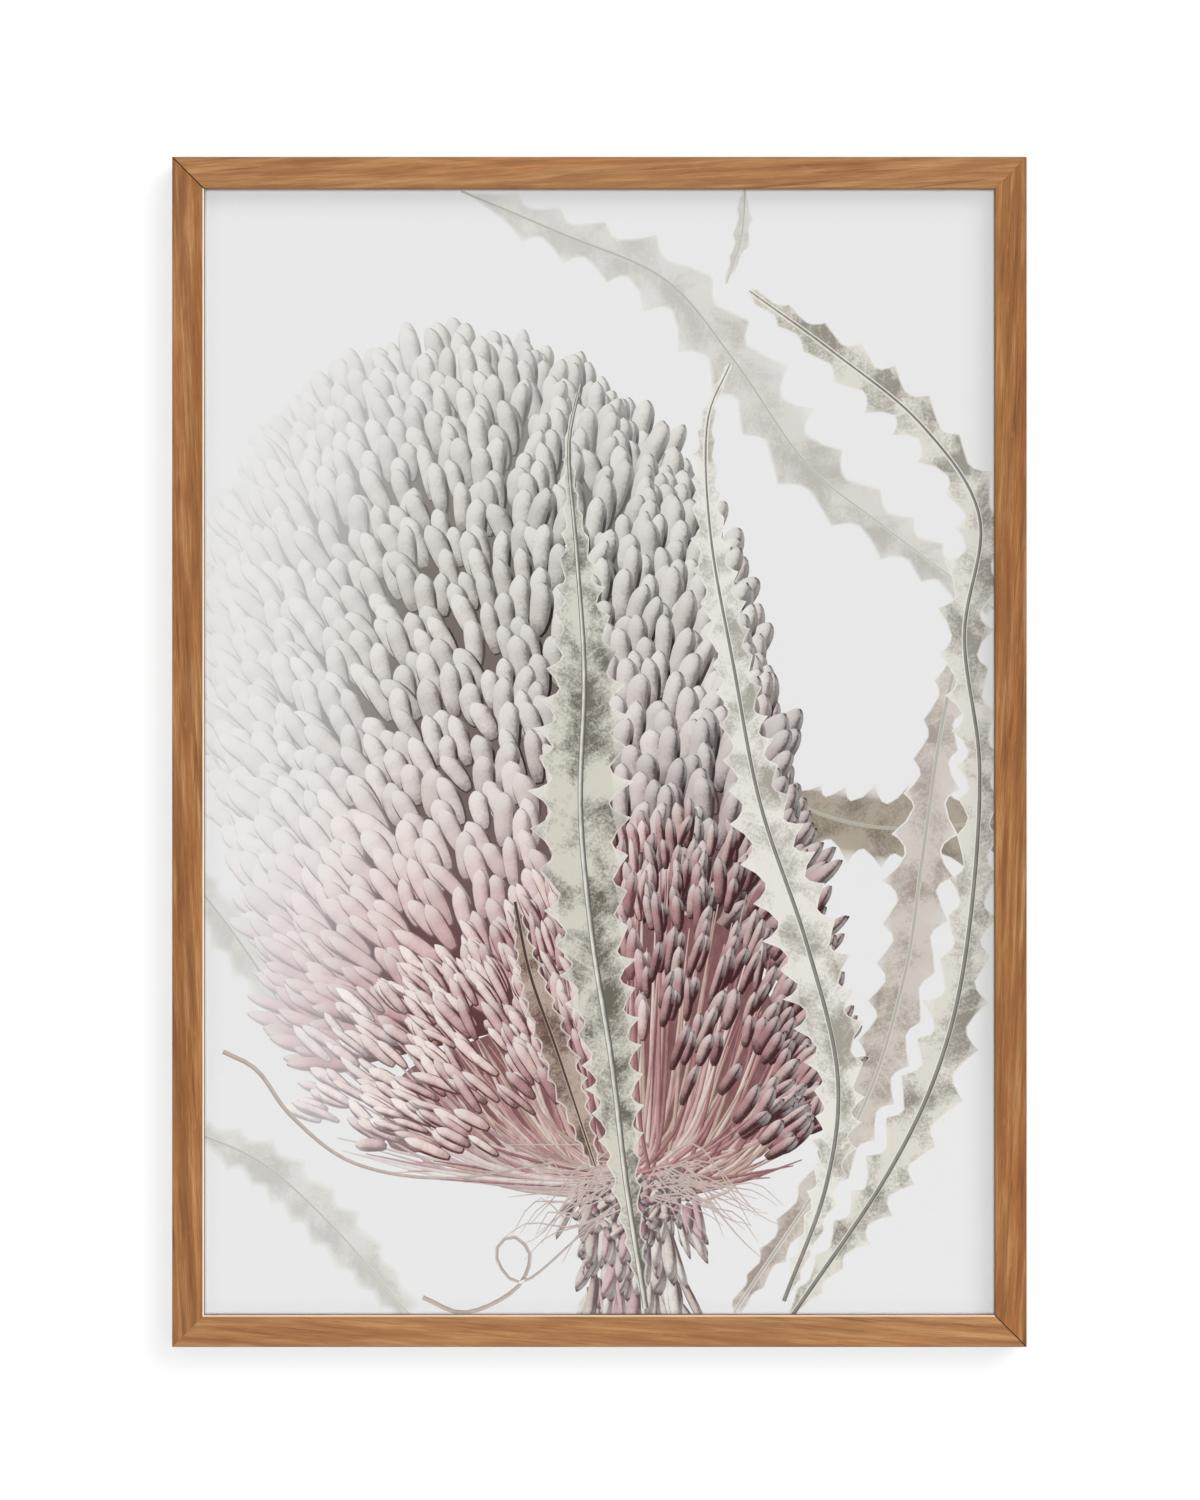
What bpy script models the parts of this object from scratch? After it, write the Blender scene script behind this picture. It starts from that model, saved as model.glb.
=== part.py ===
import math

import bmesh
import bpy
from mathutils import Matrix, Vector

# A timber picture frame that holds one A2 sheet upright behind clear glazing.
# Lengths are in metres. X runs to the right, Y runs back to the wall and Z runs up.
# The origin is in the wall plane, midway between the points where the two rings bear on their hooks.

# The sheet and the way the rails hold it
SHEET_WIDTH = 0.420
SHEET_HEIGHT = 0.594
LIP_LAP = 0.005
SHEET_CLEARANCE = 0.001

# Rail section
FACE_WIDTH = 0.0165
RAIL_DEPTH = 0.022
LIP_THICKNESS = 0.007
ARRIS_RADIUS = 0.0006
ARRIS_STEPS = 3

# Gap left between pieces that touch
GAP = 0.0003

# Layers behind the lip, front to back
GLAZING_THICKNESS = 0.002
SPACER_THICKNESS = 0.0032
SPACER_SETBACK = 0.0015
SPACER_CLEARANCE = 0.0005
PRINT_THICKNESS = 0.0003
MOUNT_BOARD_THICKNESS = 0.0015
FOAM_BOARD_THICKNESS = 0.003
BACK_PANEL_THICKNESS = 0.003

# Place on the wall
STAND_OFF = 0.0045
TOP_EDGE_Z = 0.150

# Steel corner wedges, two in the back of each mitre
WEDGE_DISTANCES = (0.0045, 0.0095)
WEDGE_HALF_SPAN = 0.0032
WEDGE_RISE = 0.0018
WEDGE_SHEET = 0.0006
WEDGE_HEIGHT = 0.007
WEDGE_SUNK = 0.0002

# Turn buttons
BUTTON_PIVOT_RADIUS = 0.00375
BUTTON_TIP_RADIUS = 0.0024
BUTTON_TIP_DISTANCE = 0.0156
BUTTON_THICKNESS = 0.001
PIVOT_FROM_EDGE = 0.00525
SIDE_BUTTON_SPREAD = 0.210
END_BUTTON_SPREAD = 0.110

# Pan-head screws
SCREW_HEAD_RADIUS = 0.0027
SCREW_HEAD_HEIGHT = 0.0016
SCREW_SHANK_RADIUS = 0.0012
SCREW_LENGTH = 0.010
SCREW_HOLE_RADIUS = 0.0016
PILOT_RADIUS = 0.0015
PILOT_DEPTH = 0.012
RECESS_ARM = 0.0014
RECESS_ROOT_HALF_WIDTH = 0.00038
RECESS_TIP_HALF_WIDTH = 0.00026
RECESS_DEPTH = 0.0009

# Hangers: a strap rolled round the bar of a loop of wire
WIRE_RADIUS = 0.0009
LOOP_HALF_WIDTH = 0.0054
LOOP_STRAIGHT = 0.005
LOOP_BEND = 0.0015
STRAP_WIDTH = 0.007
STRAP_SHEET = 0.0008
STRAP_LENGTH = 0.0195
STRAP_CORNER = 0.0024
STRAP_SCREW_DISTANCE = 0.015
ROLL_END_DEGREES = 205
HANGER_FROM_EDGE = 0.0065

# Rubber bumpers
BUMPER_RADIUS = 0.0045
BUMPER_FLAT_RADIUS = 0.0034
BUMPER_FROM_CORNER = 0.026

# Worked out from the sizes above
OUTER_WIDTH = SHEET_WIDTH - 2 * LIP_LAP + 2 * FACE_WIDTH
OUTER_HEIGHT = SHEET_HEIGHT - 2 * LIP_LAP + 2 * FACE_WIDTH
REBATE_WIDTH = LIP_LAP + SHEET_CLEARANCE
CENTRE_Z = TOP_EDGE_Z - OUTER_HEIGHT / 2
BACK_Y = -STAND_OFF
FRONT_Y = BACK_Y - RAIL_DEPTH
LEFT_X = -OUTER_WIDTH / 2
RIGHT_X = OUTER_WIDTH / 2
BOTTOM_EDGE_Z = TOP_EDGE_Z - OUTER_HEIGHT
ROLL_RADIUS = WIRE_RADIUS + GAP + STRAP_SHEET
BAR_Y = BACK_Y + GAP + ROLL_RADIUS
BAR_Z = WIRE_RADIUS - LOOP_STRAIGHT - LOOP_HALF_WIDTH

for leftover in list(bpy.data.objects):
    bpy.data.objects.remove(leftover)

assembly = bpy.data.collections.new("floating_frame")
cutters = bpy.data.collections.new("cutters")
bpy.context.scene.collection.children.link(assembly)
bpy.context.scene.collection.children.link(cutters)

origin = bpy.data.objects.new("wall_hooks", None)
assembly.objects.link(origin)


def make_material(name, colour, roughness, metallic=0.0, transmission=0.0):
    material = bpy.data.materials.new(name)
    material.use_nodes = True
    shader = material.node_tree.nodes["Principled BSDF"]
    shader.inputs["Base Color"].default_value = (*colour, 1)
    shader.inputs["Roughness"].default_value = roughness
    shader.inputs["Metallic"].default_value = metallic
    shader.inputs["Transmission Weight"].default_value = transmission
    material.diffuse_color = (*colour, 1)
    return material


oak = make_material("oak", (0.38, 0.19, 0.085), 0.55)
clear_glass = make_material("clear_glass", (0.95, 0.97, 0.96), 0.03, transmission=1.0)
spacer_plastic = make_material("spacer_plastic", (0.82, 0.81, 0.78), 0.5)
print_paper = make_material("print_paper", (0.77, 0.77, 0.76), 0.7)
mount_board = make_material("mount_board", (0.80, 0.78, 0.72), 0.85)
foam_board = make_material("foam_board", (0.85, 0.85, 0.84), 0.8)
back_board = make_material("back_board", (0.30, 0.19, 0.11), 0.8)
zinc = make_material("zinc_plate", (0.62, 0.63, 0.64), 0.35, metallic=1.0)
bright_steel = make_material("bright_steel", (0.70, 0.70, 0.69), 0.25, metallic=1.0)
wedge_steel = make_material("wedge_steel", (0.45, 0.46, 0.48), 0.45, metallic=1.0)
bumper_rubber = make_material("bumper_rubber", (0.05, 0.05, 0.05), 0.8)


# Mesh helpers


def add_part(name, data, material, location, rotation=(0, 0, 0)):
    if not data.materials:
        data.materials.append(material)
    part = bpy.data.objects.new(name, data)
    part.location = location
    part.rotation_euler = rotation
    part.parent = origin
    assembly.objects.link(part)
    return part


def solid_mesh(helper):
    # The evaluated shape of a helper object as one welded mesh; the helper is removed.
    bpy.context.scene.collection.objects.link(helper)
    bpy.context.view_layer.update()
    evaluated = helper.evaluated_get(bpy.context.evaluated_depsgraph_get())
    mesh = bpy.data.meshes.new_from_object(evaluated)
    mesh.name = helper.name
    bpy.data.objects.remove(helper)
    edit = bmesh.new()
    edit.from_mesh(mesh)
    bmesh.ops.remove_doubles(edit, verts=edit.verts, dist=0.00001)
    bmesh.ops.recalc_face_normals(edit, faces=edit.faces)
    edit.to_mesh(mesh)
    edit.free()
    return mesh


def flat_mesh(name, outlines, thickness):
    # Closed outlines in XY, thickened about z = 0. An outline inside the first one is a hole.
    curve = bpy.data.curves.new(name, "CURVE")
    curve.dimensions = "2D"
    curve.fill_mode = "BOTH"
    curve.extrude = thickness / 2
    for outline in outlines:
        spline = curve.splines.new("POLY")
        spline.points.add(len(outline) - 1)
        spline.use_cyclic_u = True
        for point, (x, y) in zip(spline.points, outline):
            point.co = (x, y, 0, 1)
    return solid_mesh(bpy.data.objects.new(name, curve))


def turned_mesh(name, profile, steps):
    # A profile of (radius, z) points, outer side from top to bottom, turned about Z.
    mesh = bpy.data.meshes.new(name)
    edges = [(i, i + 1) for i in range(len(profile) - 1)]
    mesh.from_pydata([(radius, 0, z) for radius, z in profile], edges, [])
    blank = bpy.data.objects.new(name, mesh)
    turn = blank.modifiers.new("turn", "SCREW")
    turn.steps = steps
    turn.render_steps = steps
    turn.use_merge_vertices = True
    turn.merge_threshold = 0.00001
    turned = solid_mesh(blank)
    smooth(turned)
    return turned


def smooth(mesh):
    mesh.shade_smooth()
    mesh.set_sharp_from_angle(angle=math.radians(35))


def arc(centre, radius, start, end, steps):
    # Points on an arc, both ends included, angles in degrees.
    angles = [math.radians(start + (end - start) * i / steps) for i in range(steps + 1)]
    return [(centre[0] + radius * math.cos(a), centre[1] + radius * math.sin(a)) for a in angles]


def circle(radius, steps):
    return arc((0, 0), radius, 0, 360 - 360 / steps, steps - 1)


def facing_wall(angle=0):
    # Turns a shape made in XY so that its +Z looks back at the wall.
    # Its own +X points right at 0, down at 90 and up at -90 degrees.
    return (math.radians(-90), math.radians(angle), 0)


def add_cutter(name, mesh, location, rotation):
    cutter = bpy.data.objects.new(name, mesh)
    cutter.location = location
    cutter.rotation_euler = rotation
    cutter.display_type = "WIRE"
    cutter.hide_render = True
    cutters.objects.link(cutter)


# Rails


def rail_section():
    # (inward, depth) round an L: the outer edge is at inward 0 and the back at depth 0.
    front = -RAIL_DEPTH
    land = FACE_WIDTH - REBATE_WIDTH
    radius = ARRIS_RADIUS
    steps = ARRIS_STEPS
    points = arc((radius, -radius), radius, 90, 180, steps)
    points += arc((radius, front + radius), radius, 180, 270, steps)
    points += arc((FACE_WIDTH - radius, front + radius), radius, 270, 360, steps)
    points += [(FACE_WIDTH, front + LIP_THICKNESS), (land, front + LIP_THICKNESS), (land, 0)]
    return points


def rail_mesh(name, length):
    mesh = flat_mesh(name, [rail_section()], length)
    # The section stands across X, with inward along Z, and each end is cut back at 45 degrees.
    mesh.transform(Matrix.Rotation(math.radians(-90), 4, "Y"))
    half = length / 2 - GAP / math.sqrt(2)
    for vertex in mesh.vertices:
        vertex.co.x = math.copysign(half - vertex.co.z, vertex.co.x)
    return mesh


def add_rails():
    # Name, length, middle of the outer edge, and the turn that points inward to the opening
    rails = (
        ("rail_bottom", OUTER_WIDTH, (0, BACK_Y, BOTTOM_EDGE_Z), 0),
        ("rail_left", OUTER_HEIGHT, (LEFT_X, BACK_Y, CENTRE_Z), 90),
        ("rail_top", OUTER_WIDTH, (0, BACK_Y, TOP_EDGE_Z), 180),
        ("rail_right", OUTER_HEIGHT, (RIGHT_X, BACK_Y, CENTRE_Z), 270),
    )
    for name, length, place, turn in rails:
        rail = add_part(name, rail_mesh(name, length), oak, place, (0, math.radians(turn), 0))
        holes = rail.modifiers.new("wedge slots and screw holes", "BOOLEAN")
        holes.operand_type = "COLLECTION"
        holes.collection = cutters
        holes.operation = "DIFFERENCE"


# Corner wedges


def chevron(grow):
    # A thin V lying across X with its point at +X, widened by grow on every side.
    half = WEDGE_SHEET / 2 + grow
    reach = WEDGE_HALF_SPAN + grow
    slope = WEDGE_RISE / WEDGE_HALF_SPAN
    along = half * math.sqrt(1 + slope * slope)
    tail = WEDGE_RISE - slope * reach
    return [
        (WEDGE_RISE + along, 0),
        (tail + along, reach),
        (tail - along, reach),
        (WEDGE_RISE - along, 0),
        (tail - along, -reach),
        (tail + along, -reach),
    ]


def add_wedges():
    wedge = flat_mesh("corner_wedge", [chevron(0)], WEDGE_HEIGHT)
    slot = flat_mesh("wedge_slot", [chevron(GAP)], WEDGE_HEIGHT + 4 * GAP)
    wedge_y = BACK_Y - WEDGE_SUNK - WEDGE_HEIGHT / 2
    for vertical, up in (("top", 1), ("bottom", -1)):
        for side, right in (("left", -1), ("right", 1)):
            turn = facing_wall(math.degrees(math.atan2(up, -right)))
            for place, distance in zip(("outer", "inner"), WEDGE_DISTANCES):
                inset = distance / math.sqrt(2)
                x = right * (OUTER_WIDTH / 2 - inset)
                z = CENTRE_Z + up * (OUTER_HEIGHT / 2 - inset)
                label = f"{vertical}_{side}_{place}"
                add_part(f"corner_wedge_{label}", wedge, wedge_steel, (x, wedge_y, z), turn)
                add_cutter(f"wedge_slot_{label}", slot, (x, wedge_y + GAP, z), turn)


# Glazing, spacers, print and boards


def box_mesh(name, width, depth, height):
    mesh = bpy.data.meshes.new(name)
    edit = bmesh.new()
    bmesh.ops.create_cube(edit, size=1)
    bmesh.ops.scale(edit, vec=(width, depth, height), verts=edit.verts)
    edit.to_mesh(mesh)
    edit.free()
    return mesh


def add_spacers(front_y):
    y = front_y + SPACER_THICKNESS / 2
    outer_width = OUTER_WIDTH - 2 * (FACE_WIDTH - REBATE_WIDTH + SPACER_CLEARANCE)
    outer_height = OUTER_HEIGHT - 2 * (FACE_WIDTH - REBATE_WIDTH + SPACER_CLEARANCE)
    width = REBATE_WIDTH - SPACER_CLEARANCE - SPACER_SETBACK
    end_mesh = box_mesh("spacer_end", outer_width, SPACER_THICKNESS, width)
    side_mesh = box_mesh("spacer_side", width, SPACER_THICKNESS, outer_height - 2 * (width + GAP))
    for name, up in (("spacer_top", 1), ("spacer_bottom", -1)):
        z = CENTRE_Z + up * (outer_height - width) / 2
        add_part(name, end_mesh, spacer_plastic, (0, y, z))
    for name, right in (("spacer_left", -1), ("spacer_right", 1)):
        x = right * (outer_width - width) / 2
        add_part(name, side_mesh, spacer_plastic, (x, y, CENTRE_Z))


def add_layers():
    layers = (
        ("glazing", GLAZING_THICKNESS, clear_glass),
        ("spacers", SPACER_THICKNESS, spacer_plastic),
        ("art_print", PRINT_THICKNESS, print_paper),
        ("mount_board", MOUNT_BOARD_THICKNESS, mount_board),
        ("foam_board", FOAM_BOARD_THICKNESS, foam_board),
        ("back_panel", BACK_PANEL_THICKNESS, back_board),
    )
    y = FRONT_Y + LIP_THICKNESS
    for name, thickness, material in layers:
        y += GAP
        if name == "spacers":
            add_spacers(y)
        else:
            mesh = box_mesh(name, SHEET_WIDTH, thickness, SHEET_HEIGHT)
            add_part(name, mesh, material, (0, y + thickness / 2, CENTRE_Z))
        y += thickness


# Screws and turn buttons


def cross_outline():
    root = RECESS_ROOT_HALF_WIDTH
    tip = RECESS_TIP_HALF_WIDTH
    quarter = [Vector((RECESS_ARM, -tip)), Vector((RECESS_ARM, tip)), Vector((root, root))]
    turns = [Matrix.Rotation(math.radians(90 * step), 2) for step in range(4)]
    return [turn @ point for turn in turns for point in quarter]


def screw_mesh():
    # The underside of the head is at z = 0 and the shank runs down from it.
    head = SCREW_HEAD_RADIUS
    height = SCREW_HEAD_HEIGHT
    shank = SCREW_SHANK_RADIUS
    profile = [
        (0, height),
        (head * 0.62, height),
        (head * 0.86, height * 0.82),
        (head, height * 0.42),
        (head, 0),
        (shank, 0),
        (shank, -SCREW_LENGTH * 0.8),
        (0, -SCREW_LENGTH),
    ]
    recess_mesh = flat_mesh("cross_recess", [cross_outline()], 2 * RECESS_DEPTH)
    add_cutter("cross_recess", recess_mesh, (0, 0, height), (0, 0, 0))
    blank = bpy.data.objects.new("pan_head_screw", turned_mesh("pan_head_screw", profile, 16))
    cut = blank.modifiers.new("cross recess", "BOOLEAN")
    cut.object = cutters.objects["cross_recess"]
    cut.operation = "DIFFERENCE"
    mesh = solid_mesh(blank)
    bpy.data.objects.remove(cutters.objects["cross_recess"])
    smooth(mesh)
    return mesh


def add_screw(name, mesh, x, z, seat_y):
    # A screw with the underside of its head at seat_y, and its pilot hole in the rail.
    add_part(name, mesh, bright_steel, (x, seat_y, z), facing_wall(22))
    pilot = flat_mesh("pilot", [circle(PILOT_RADIUS, 12)], 2 * PILOT_DEPTH)
    add_cutter(f"pilot_{name}", pilot, (x, BACK_Y, z), facing_wall())


def button_mesh():
    # A pear-shaped plate: the pivot end is round z, and the tip is at +X.
    lean = math.degrees(math.acos((BUTTON_PIVOT_RADIUS - BUTTON_TIP_RADIUS) / BUTTON_TIP_DISTANCE))
    outline = arc((0, 0), BUTTON_PIVOT_RADIUS, lean, 360 - lean, 10)
    outline += arc((BUTTON_TIP_DISTANCE, 0), BUTTON_TIP_RADIUS, -lean, lean, 8)
    return flat_mesh("turn_button", [outline, circle(SCREW_HOLE_RADIUS, 14)], BUTTON_THICKNESS)


def add_turn_buttons(screw):
    button = button_mesh()
    left = LEFT_X + PIVOT_FROM_EDGE
    top = TOP_EDGE_Z - PIVOT_FROM_EDGE
    bottom = BOTTOM_EDGE_Z + PIVOT_FROM_EDGE
    # Label, pivot, and the way the tip points
    places = []
    for level, rise in (("upper", SIDE_BUTTON_SPREAD), ("middle", 0), ("lower", -SIDE_BUTTON_SPREAD)):
        places.append((f"left_{level}", left, CENTRE_Z + rise, 0))
        places.append((f"right_{level}", -left, CENTRE_Z + rise, 180))
    for side, x in (("left", -END_BUTTON_SPREAD), ("right", END_BUTTON_SPREAD)):
        places.append((f"top_{side}", x, top, 90))
        places.append((f"bottom_{side}", x, bottom, -90))
    button_y = BACK_Y + GAP + BUTTON_THICKNESS / 2
    seat_y = BACK_Y + GAP + BUTTON_THICKNESS + GAP
    for label, x, z, angle in places:
        add_part(f"turn_button_{label}", button, zinc, (x, button_y, z), facing_wall(angle))
        add_screw(f"button_screw_{label}", screw, x, z, seat_y)


# Hangers


def strap_mesh():
    # Side view, with x up the strap and y back from the rail, thickened across the strap.
    roll = (0, ROLL_RADIUS)
    outline = [(-STRAP_LENGTH, 0)]
    outline += arc(roll, ROLL_RADIUS, -90, ROLL_END_DEGREES, 18)
    outline += arc(roll, ROLL_RADIUS - STRAP_SHEET, ROLL_END_DEGREES, -90, 18)
    outline += [(-STRAP_LENGTH, STRAP_SHEET)]
    mesh = flat_mesh("hanger_strap", [outline], STRAP_WIDTH)
    # Stands it up: the strap runs along Z, and Y is measured from the bar.
    stand = Matrix.Rotation(math.radians(-90), 4, "Y")
    mesh.transform(Matrix.Translation((0, -ROLL_RADIUS, 0)) @ stand)
    edit = bmesh.new()
    edit.from_mesh(mesh)
    end = -STRAP_LENGTH + GAP
    corners = [e for e in edit.edges if all(v.co.z < end for v in e.verts)]
    corners = [e for e in corners if abs(e.verts[0].co.x - e.verts[1].co.x) < GAP]
    bmesh.ops.bevel(edit, geom=corners, offset=STRAP_CORNER, segments=4, profile=0.5, affect="EDGES")
    edit.to_mesh(mesh)
    edit.free()
    hole_mesh = flat_mesh("strap_hole", [circle(SCREW_HOLE_RADIUS, 14)], 4 * ROLL_RADIUS)
    add_cutter("strap_hole", hole_mesh, (0, -ROLL_RADIUS, -STRAP_SCREW_DISTANCE), facing_wall())
    blank = bpy.data.objects.new("hanger_strap", mesh)
    drill = blank.modifiers.new("screw hole", "BOOLEAN")
    drill.object = cutters.objects["strap_hole"]
    drill.operation = "DIFFERENCE"
    drilled = solid_mesh(blank)
    bpy.data.objects.remove(cutters.objects["strap_hole"])
    smooth(drilled)
    return drilled


def ring_curve():
    # A closed loop in XZ: a bar on the X axis, two straight sides and a round top.
    half = LOOP_HALF_WIDTH
    bend = LOOP_BEND
    route = arc((-half + bend, bend), bend, 180, 270, 4)
    route += arc((half - bend, bend), bend, 270, 360, 4)
    route += arc((0, LOOP_STRAIGHT), half, 0, 180, 16)
    curve = bpy.data.curves.new("hanger_ring", "CURVE")
    curve.dimensions = "3D"
    curve.bevel_depth = WIRE_RADIUS
    curve.bevel_resolution = 2
    spline = curve.splines.new("POLY")
    spline.points.add(len(route) - 1)
    spline.use_cyclic_u = True
    for point, (x, z) in zip(spline.points, route):
        point.co = (x, 0, z, 1)
    return curve


def add_hangers(screw):
    strap = strap_mesh()
    ring = ring_curve()
    seat_y = BACK_Y + GAP + STRAP_SHEET + GAP
    for side, x in (("left", LEFT_X + HANGER_FROM_EDGE), ("right", RIGHT_X - HANGER_FROM_EDGE)):
        add_part(f"hanger_strap_{side}", strap, zinc, (x, BAR_Y, BAR_Z))
        add_part(f"hanger_ring_{side}", ring, bright_steel, (x, BAR_Y, BAR_Z))
        add_screw(f"hanger_screw_{side}", screw, x, BAR_Z - STRAP_SCREW_DISTANCE, seat_y)


# Bumpers


def add_bumpers():
    height = STAND_OFF - GAP
    edge = BUMPER_RADIUS - BUMPER_FLAT_RADIUS
    dome = [(BUMPER_FLAT_RADIUS + x, height - edge + z) for x, z in arc((0, 0), edge, 90, 0, 4)]
    bumper = turned_mesh("bumper", [(0, height), *dome, (BUMPER_RADIUS, 0), (0, 0)], 24)
    for vertical, z in (("top", TOP_EDGE_Z - PIVOT_FROM_EDGE), ("bottom", BOTTOM_EDGE_Z + PIVOT_FROM_EDGE)):
        for side, x in (("left", LEFT_X + BUMPER_FROM_CORNER), ("right", RIGHT_X - BUMPER_FROM_CORNER)):
            add_part(f"bumper_{vertical}_{side}", bumper, bumper_rubber, (x, BACK_Y + GAP, z), facing_wall())


pan_head_screw = screw_mesh()
add_wedges()
add_layers()
add_turn_buttons(pan_head_screw)
add_hangers(pan_head_screw)
add_bumpers()
add_rails()
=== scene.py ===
import math
import random

import bmesh
import bpy
import numpy as np
from mathutils import Matrix, Vector
from mathutils.geometry import delaunay_2d_cdt


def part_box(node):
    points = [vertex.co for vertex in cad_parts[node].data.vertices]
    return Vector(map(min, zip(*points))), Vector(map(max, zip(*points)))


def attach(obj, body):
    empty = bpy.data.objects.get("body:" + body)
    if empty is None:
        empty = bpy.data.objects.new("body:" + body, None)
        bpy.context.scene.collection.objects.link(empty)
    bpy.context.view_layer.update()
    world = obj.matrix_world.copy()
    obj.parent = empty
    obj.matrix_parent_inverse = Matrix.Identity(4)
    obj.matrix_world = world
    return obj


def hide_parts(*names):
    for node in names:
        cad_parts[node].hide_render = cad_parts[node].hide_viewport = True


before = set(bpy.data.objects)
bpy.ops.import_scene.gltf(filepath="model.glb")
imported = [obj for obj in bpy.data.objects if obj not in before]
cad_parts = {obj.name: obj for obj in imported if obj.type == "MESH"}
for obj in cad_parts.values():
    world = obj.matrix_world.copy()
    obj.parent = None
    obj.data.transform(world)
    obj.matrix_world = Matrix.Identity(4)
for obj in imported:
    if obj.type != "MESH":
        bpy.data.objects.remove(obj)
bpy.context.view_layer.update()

scene = bpy.context.scene
millimetre = 0.001


def report(text):
    print("[picture frame]", text)


# Small helpers for objects and meshes

def newObject(name, data, body=None, stands=(), place=None):
    made = bpy.data.objects.new(name, data)
    scene.collection.objects.link(made)
    if place:
        made.matrix_world = place
    if body:
        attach(made, body)
    if stands:
        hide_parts(*stands)
    return made


def pieceName(node):
    return node.replace("_", " ").title().replace(" ", "")


def meshFrom(edit, name, outward=False):
    if outward:
        bmesh.ops.recalc_face_normals(edit, faces=edit.faces)
    mesh = bpy.data.meshes.new(name)
    edit.to_mesh(mesh)
    edit.free()
    return mesh


def skin(edit, rows, closed=True):
    # Faces between each row of points and the next; a row of one point is a tip
    for first, second in zip(rows, rows[1:]):
        count = max(len(first), len(second))
        for i in range(count if closed else count - 1):
            j = (i + 1) % count
            corners = (first[i % len(first)], second[i % len(second)],
                       second[j % len(second)], first[j % len(first)])
            edit.faces.new(list(dict.fromkeys(corners)))


def cutOut(blank, cutter):
    # The blank's mesh with the cutter's shape taken out; the blank goes
    cut = blank.modifiers.new("cut", "BOOLEAN")
    cut.object = cutter
    cut.operation = "DIFFERENCE"
    return bakedMesh(blank)


def bakedMesh(helper):
    # The helper's shape with its modifiers applied; the helper itself goes
    bpy.context.view_layer.update()
    evaluated = helper.evaluated_get(bpy.context.evaluated_depsgraph_get())
    mesh = bpy.data.meshes.new_from_object(evaluated)
    bpy.data.objects.remove(helper)
    return mesh


def shadeRound(mesh, degrees=35):
    # Broad faces stay flat, so the eased edges beside them don't bend their shading
    mesh.shade_smooth()
    mesh.set_sharp_from_angle(angle=math.radians(degrees))
    mesh.polygons.foreach_set("use_smooth", [face.area < 0.00001 for face in mesh.polygons])


def arcPoints(centre, radius, start, end, steps):
    angles = [math.radians(start + (end - start) * i / steps) for i in range(steps + 1)]
    return [(centre[0] + radius * math.cos(a), centre[1] + radius * math.sin(a)) for a in angles]


# Small helpers for materials

class Nodes:
    def __init__(self, name, roughness=0.5, metallic=0.0):
        self.material = bpy.data.materials.new(name)
        self.material.use_nodes = True
        self.tree = self.material.node_tree
        self.shader = self.tree.nodes["Principled BSDF"]
        self.shader.inputs["Roughness"].default_value = roughness
        self.shader.inputs["Metallic"].default_value = metallic

    def add(self, kind, settings=None, **inputs):
        made = self.tree.nodes.new("ShaderNode" + kind)
        for key, value in (settings or {}).items():
            setattr(made, key, value)
        for key, value in inputs.items():
            self.plug(made.inputs[key.replace("_", " ")], value)
        return made

    def plug(self, socket, value):
        if isinstance(value, bpy.types.NodeSocket):
            self.tree.links.new(value, socket)
        elif isinstance(value, bpy.types.Node):
            self.tree.links.new(value.outputs[0], socket)
        else:
            socket.default_value = value

    def maths(self, operation, first, second=0.0, third=0.0, clamp=False):
        made = self.add("Math", {"operation": operation, "use_clamp": clamp})
        for socket, value in zip(made.inputs, (first, second, third)):
            self.plug(socket, value)
        return made.outputs[0]

    def times(self, *values, clamp=False):
        return self.maths("MULTIPLY", *values, clamp=clamp)

    def plus(self, *values, clamp=False):
        return self.maths("ADD", *values, clamp=clamp)

    def minus(self, first, second):
        return self.maths("SUBTRACT", first, second)

    def mix(self, factor, first, second, blend="MIX"):
        made = self.add("Mix", {"data_type": "RGBA", "blend_type": blend})
        self.plug(made.inputs[0], factor)
        self.plug(made.inputs[6], first)
        self.plug(made.inputs[7], second)
        return made.outputs[2]

    def over(self, colour, driver, stops, other, smooth=False):
        # The other colour laid over the first one, as strongly as the driver's ramp says
        return self.mix(self.ramp(driver, stops, smooth), colour, other)

    def ramp(self, factor, stops, smooth=False):
        # stops: (place, value), value a grey number or a colour
        made = self.add("ValToRGB", Fac=factor)
        band = made.color_ramp
        band.interpolation = "EASE" if smooth else "LINEAR"
        while len(band.elements) < len(stops):
            band.elements.new(0.5)
        for element, (place, value) in zip(band.elements, stops):
            element.position = place
            element.color = value if isinstance(value, tuple) else (value, value, value, 1)
        return made.outputs[0]

    def place(self, scale=(1, 1, 1), location=(0, 0, 0), rotation=(0, 0, 0)):
        # The piece's own coordinates in metres, moved, turned and stretched
        source = self.add("TexCoord").outputs["Object"]
        turned = self.add("Mapping", Vector=source, Location=location,
                          Rotation=tuple(math.radians(a) for a in rotation))
        return self.add("Mapping", Vector=turned, Scale=scale).outputs[0]

    def noise(self, vector, scale=1.0, detail=3.0, roughness=0.5, distortion=0.0):
        return self.add("TexNoise", Vector=vector, Scale=scale, Detail=detail,
                        Roughness=roughness, Distortion=distortion).outputs[0]

    def bump(self, height, strength, distance=0.0002):
        made = self.add("Bump", Strength=strength, Distance=distance, Height=height)
        self.plug(self.shader.inputs["Normal"], made)

    def set(self, **inputs):
        for key, value in inputs.items():
            self.plug(self.shader.inputs[key.replace("_", " ")], value)
        return self.material


def tone(red, green, blue, alpha=1.0):
    # A colour given as it looks on a screen, 0 to 255, in the linear values that shaders take
    def linear(value):
        value /= 255
        return value / 12.92 if value <= 0.04045 else ((value + 0.055) / 1.055) ** 2.4
    return (linear(red), linear(green), linear(blue), alpha)


# Sizes read from the frame

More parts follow.
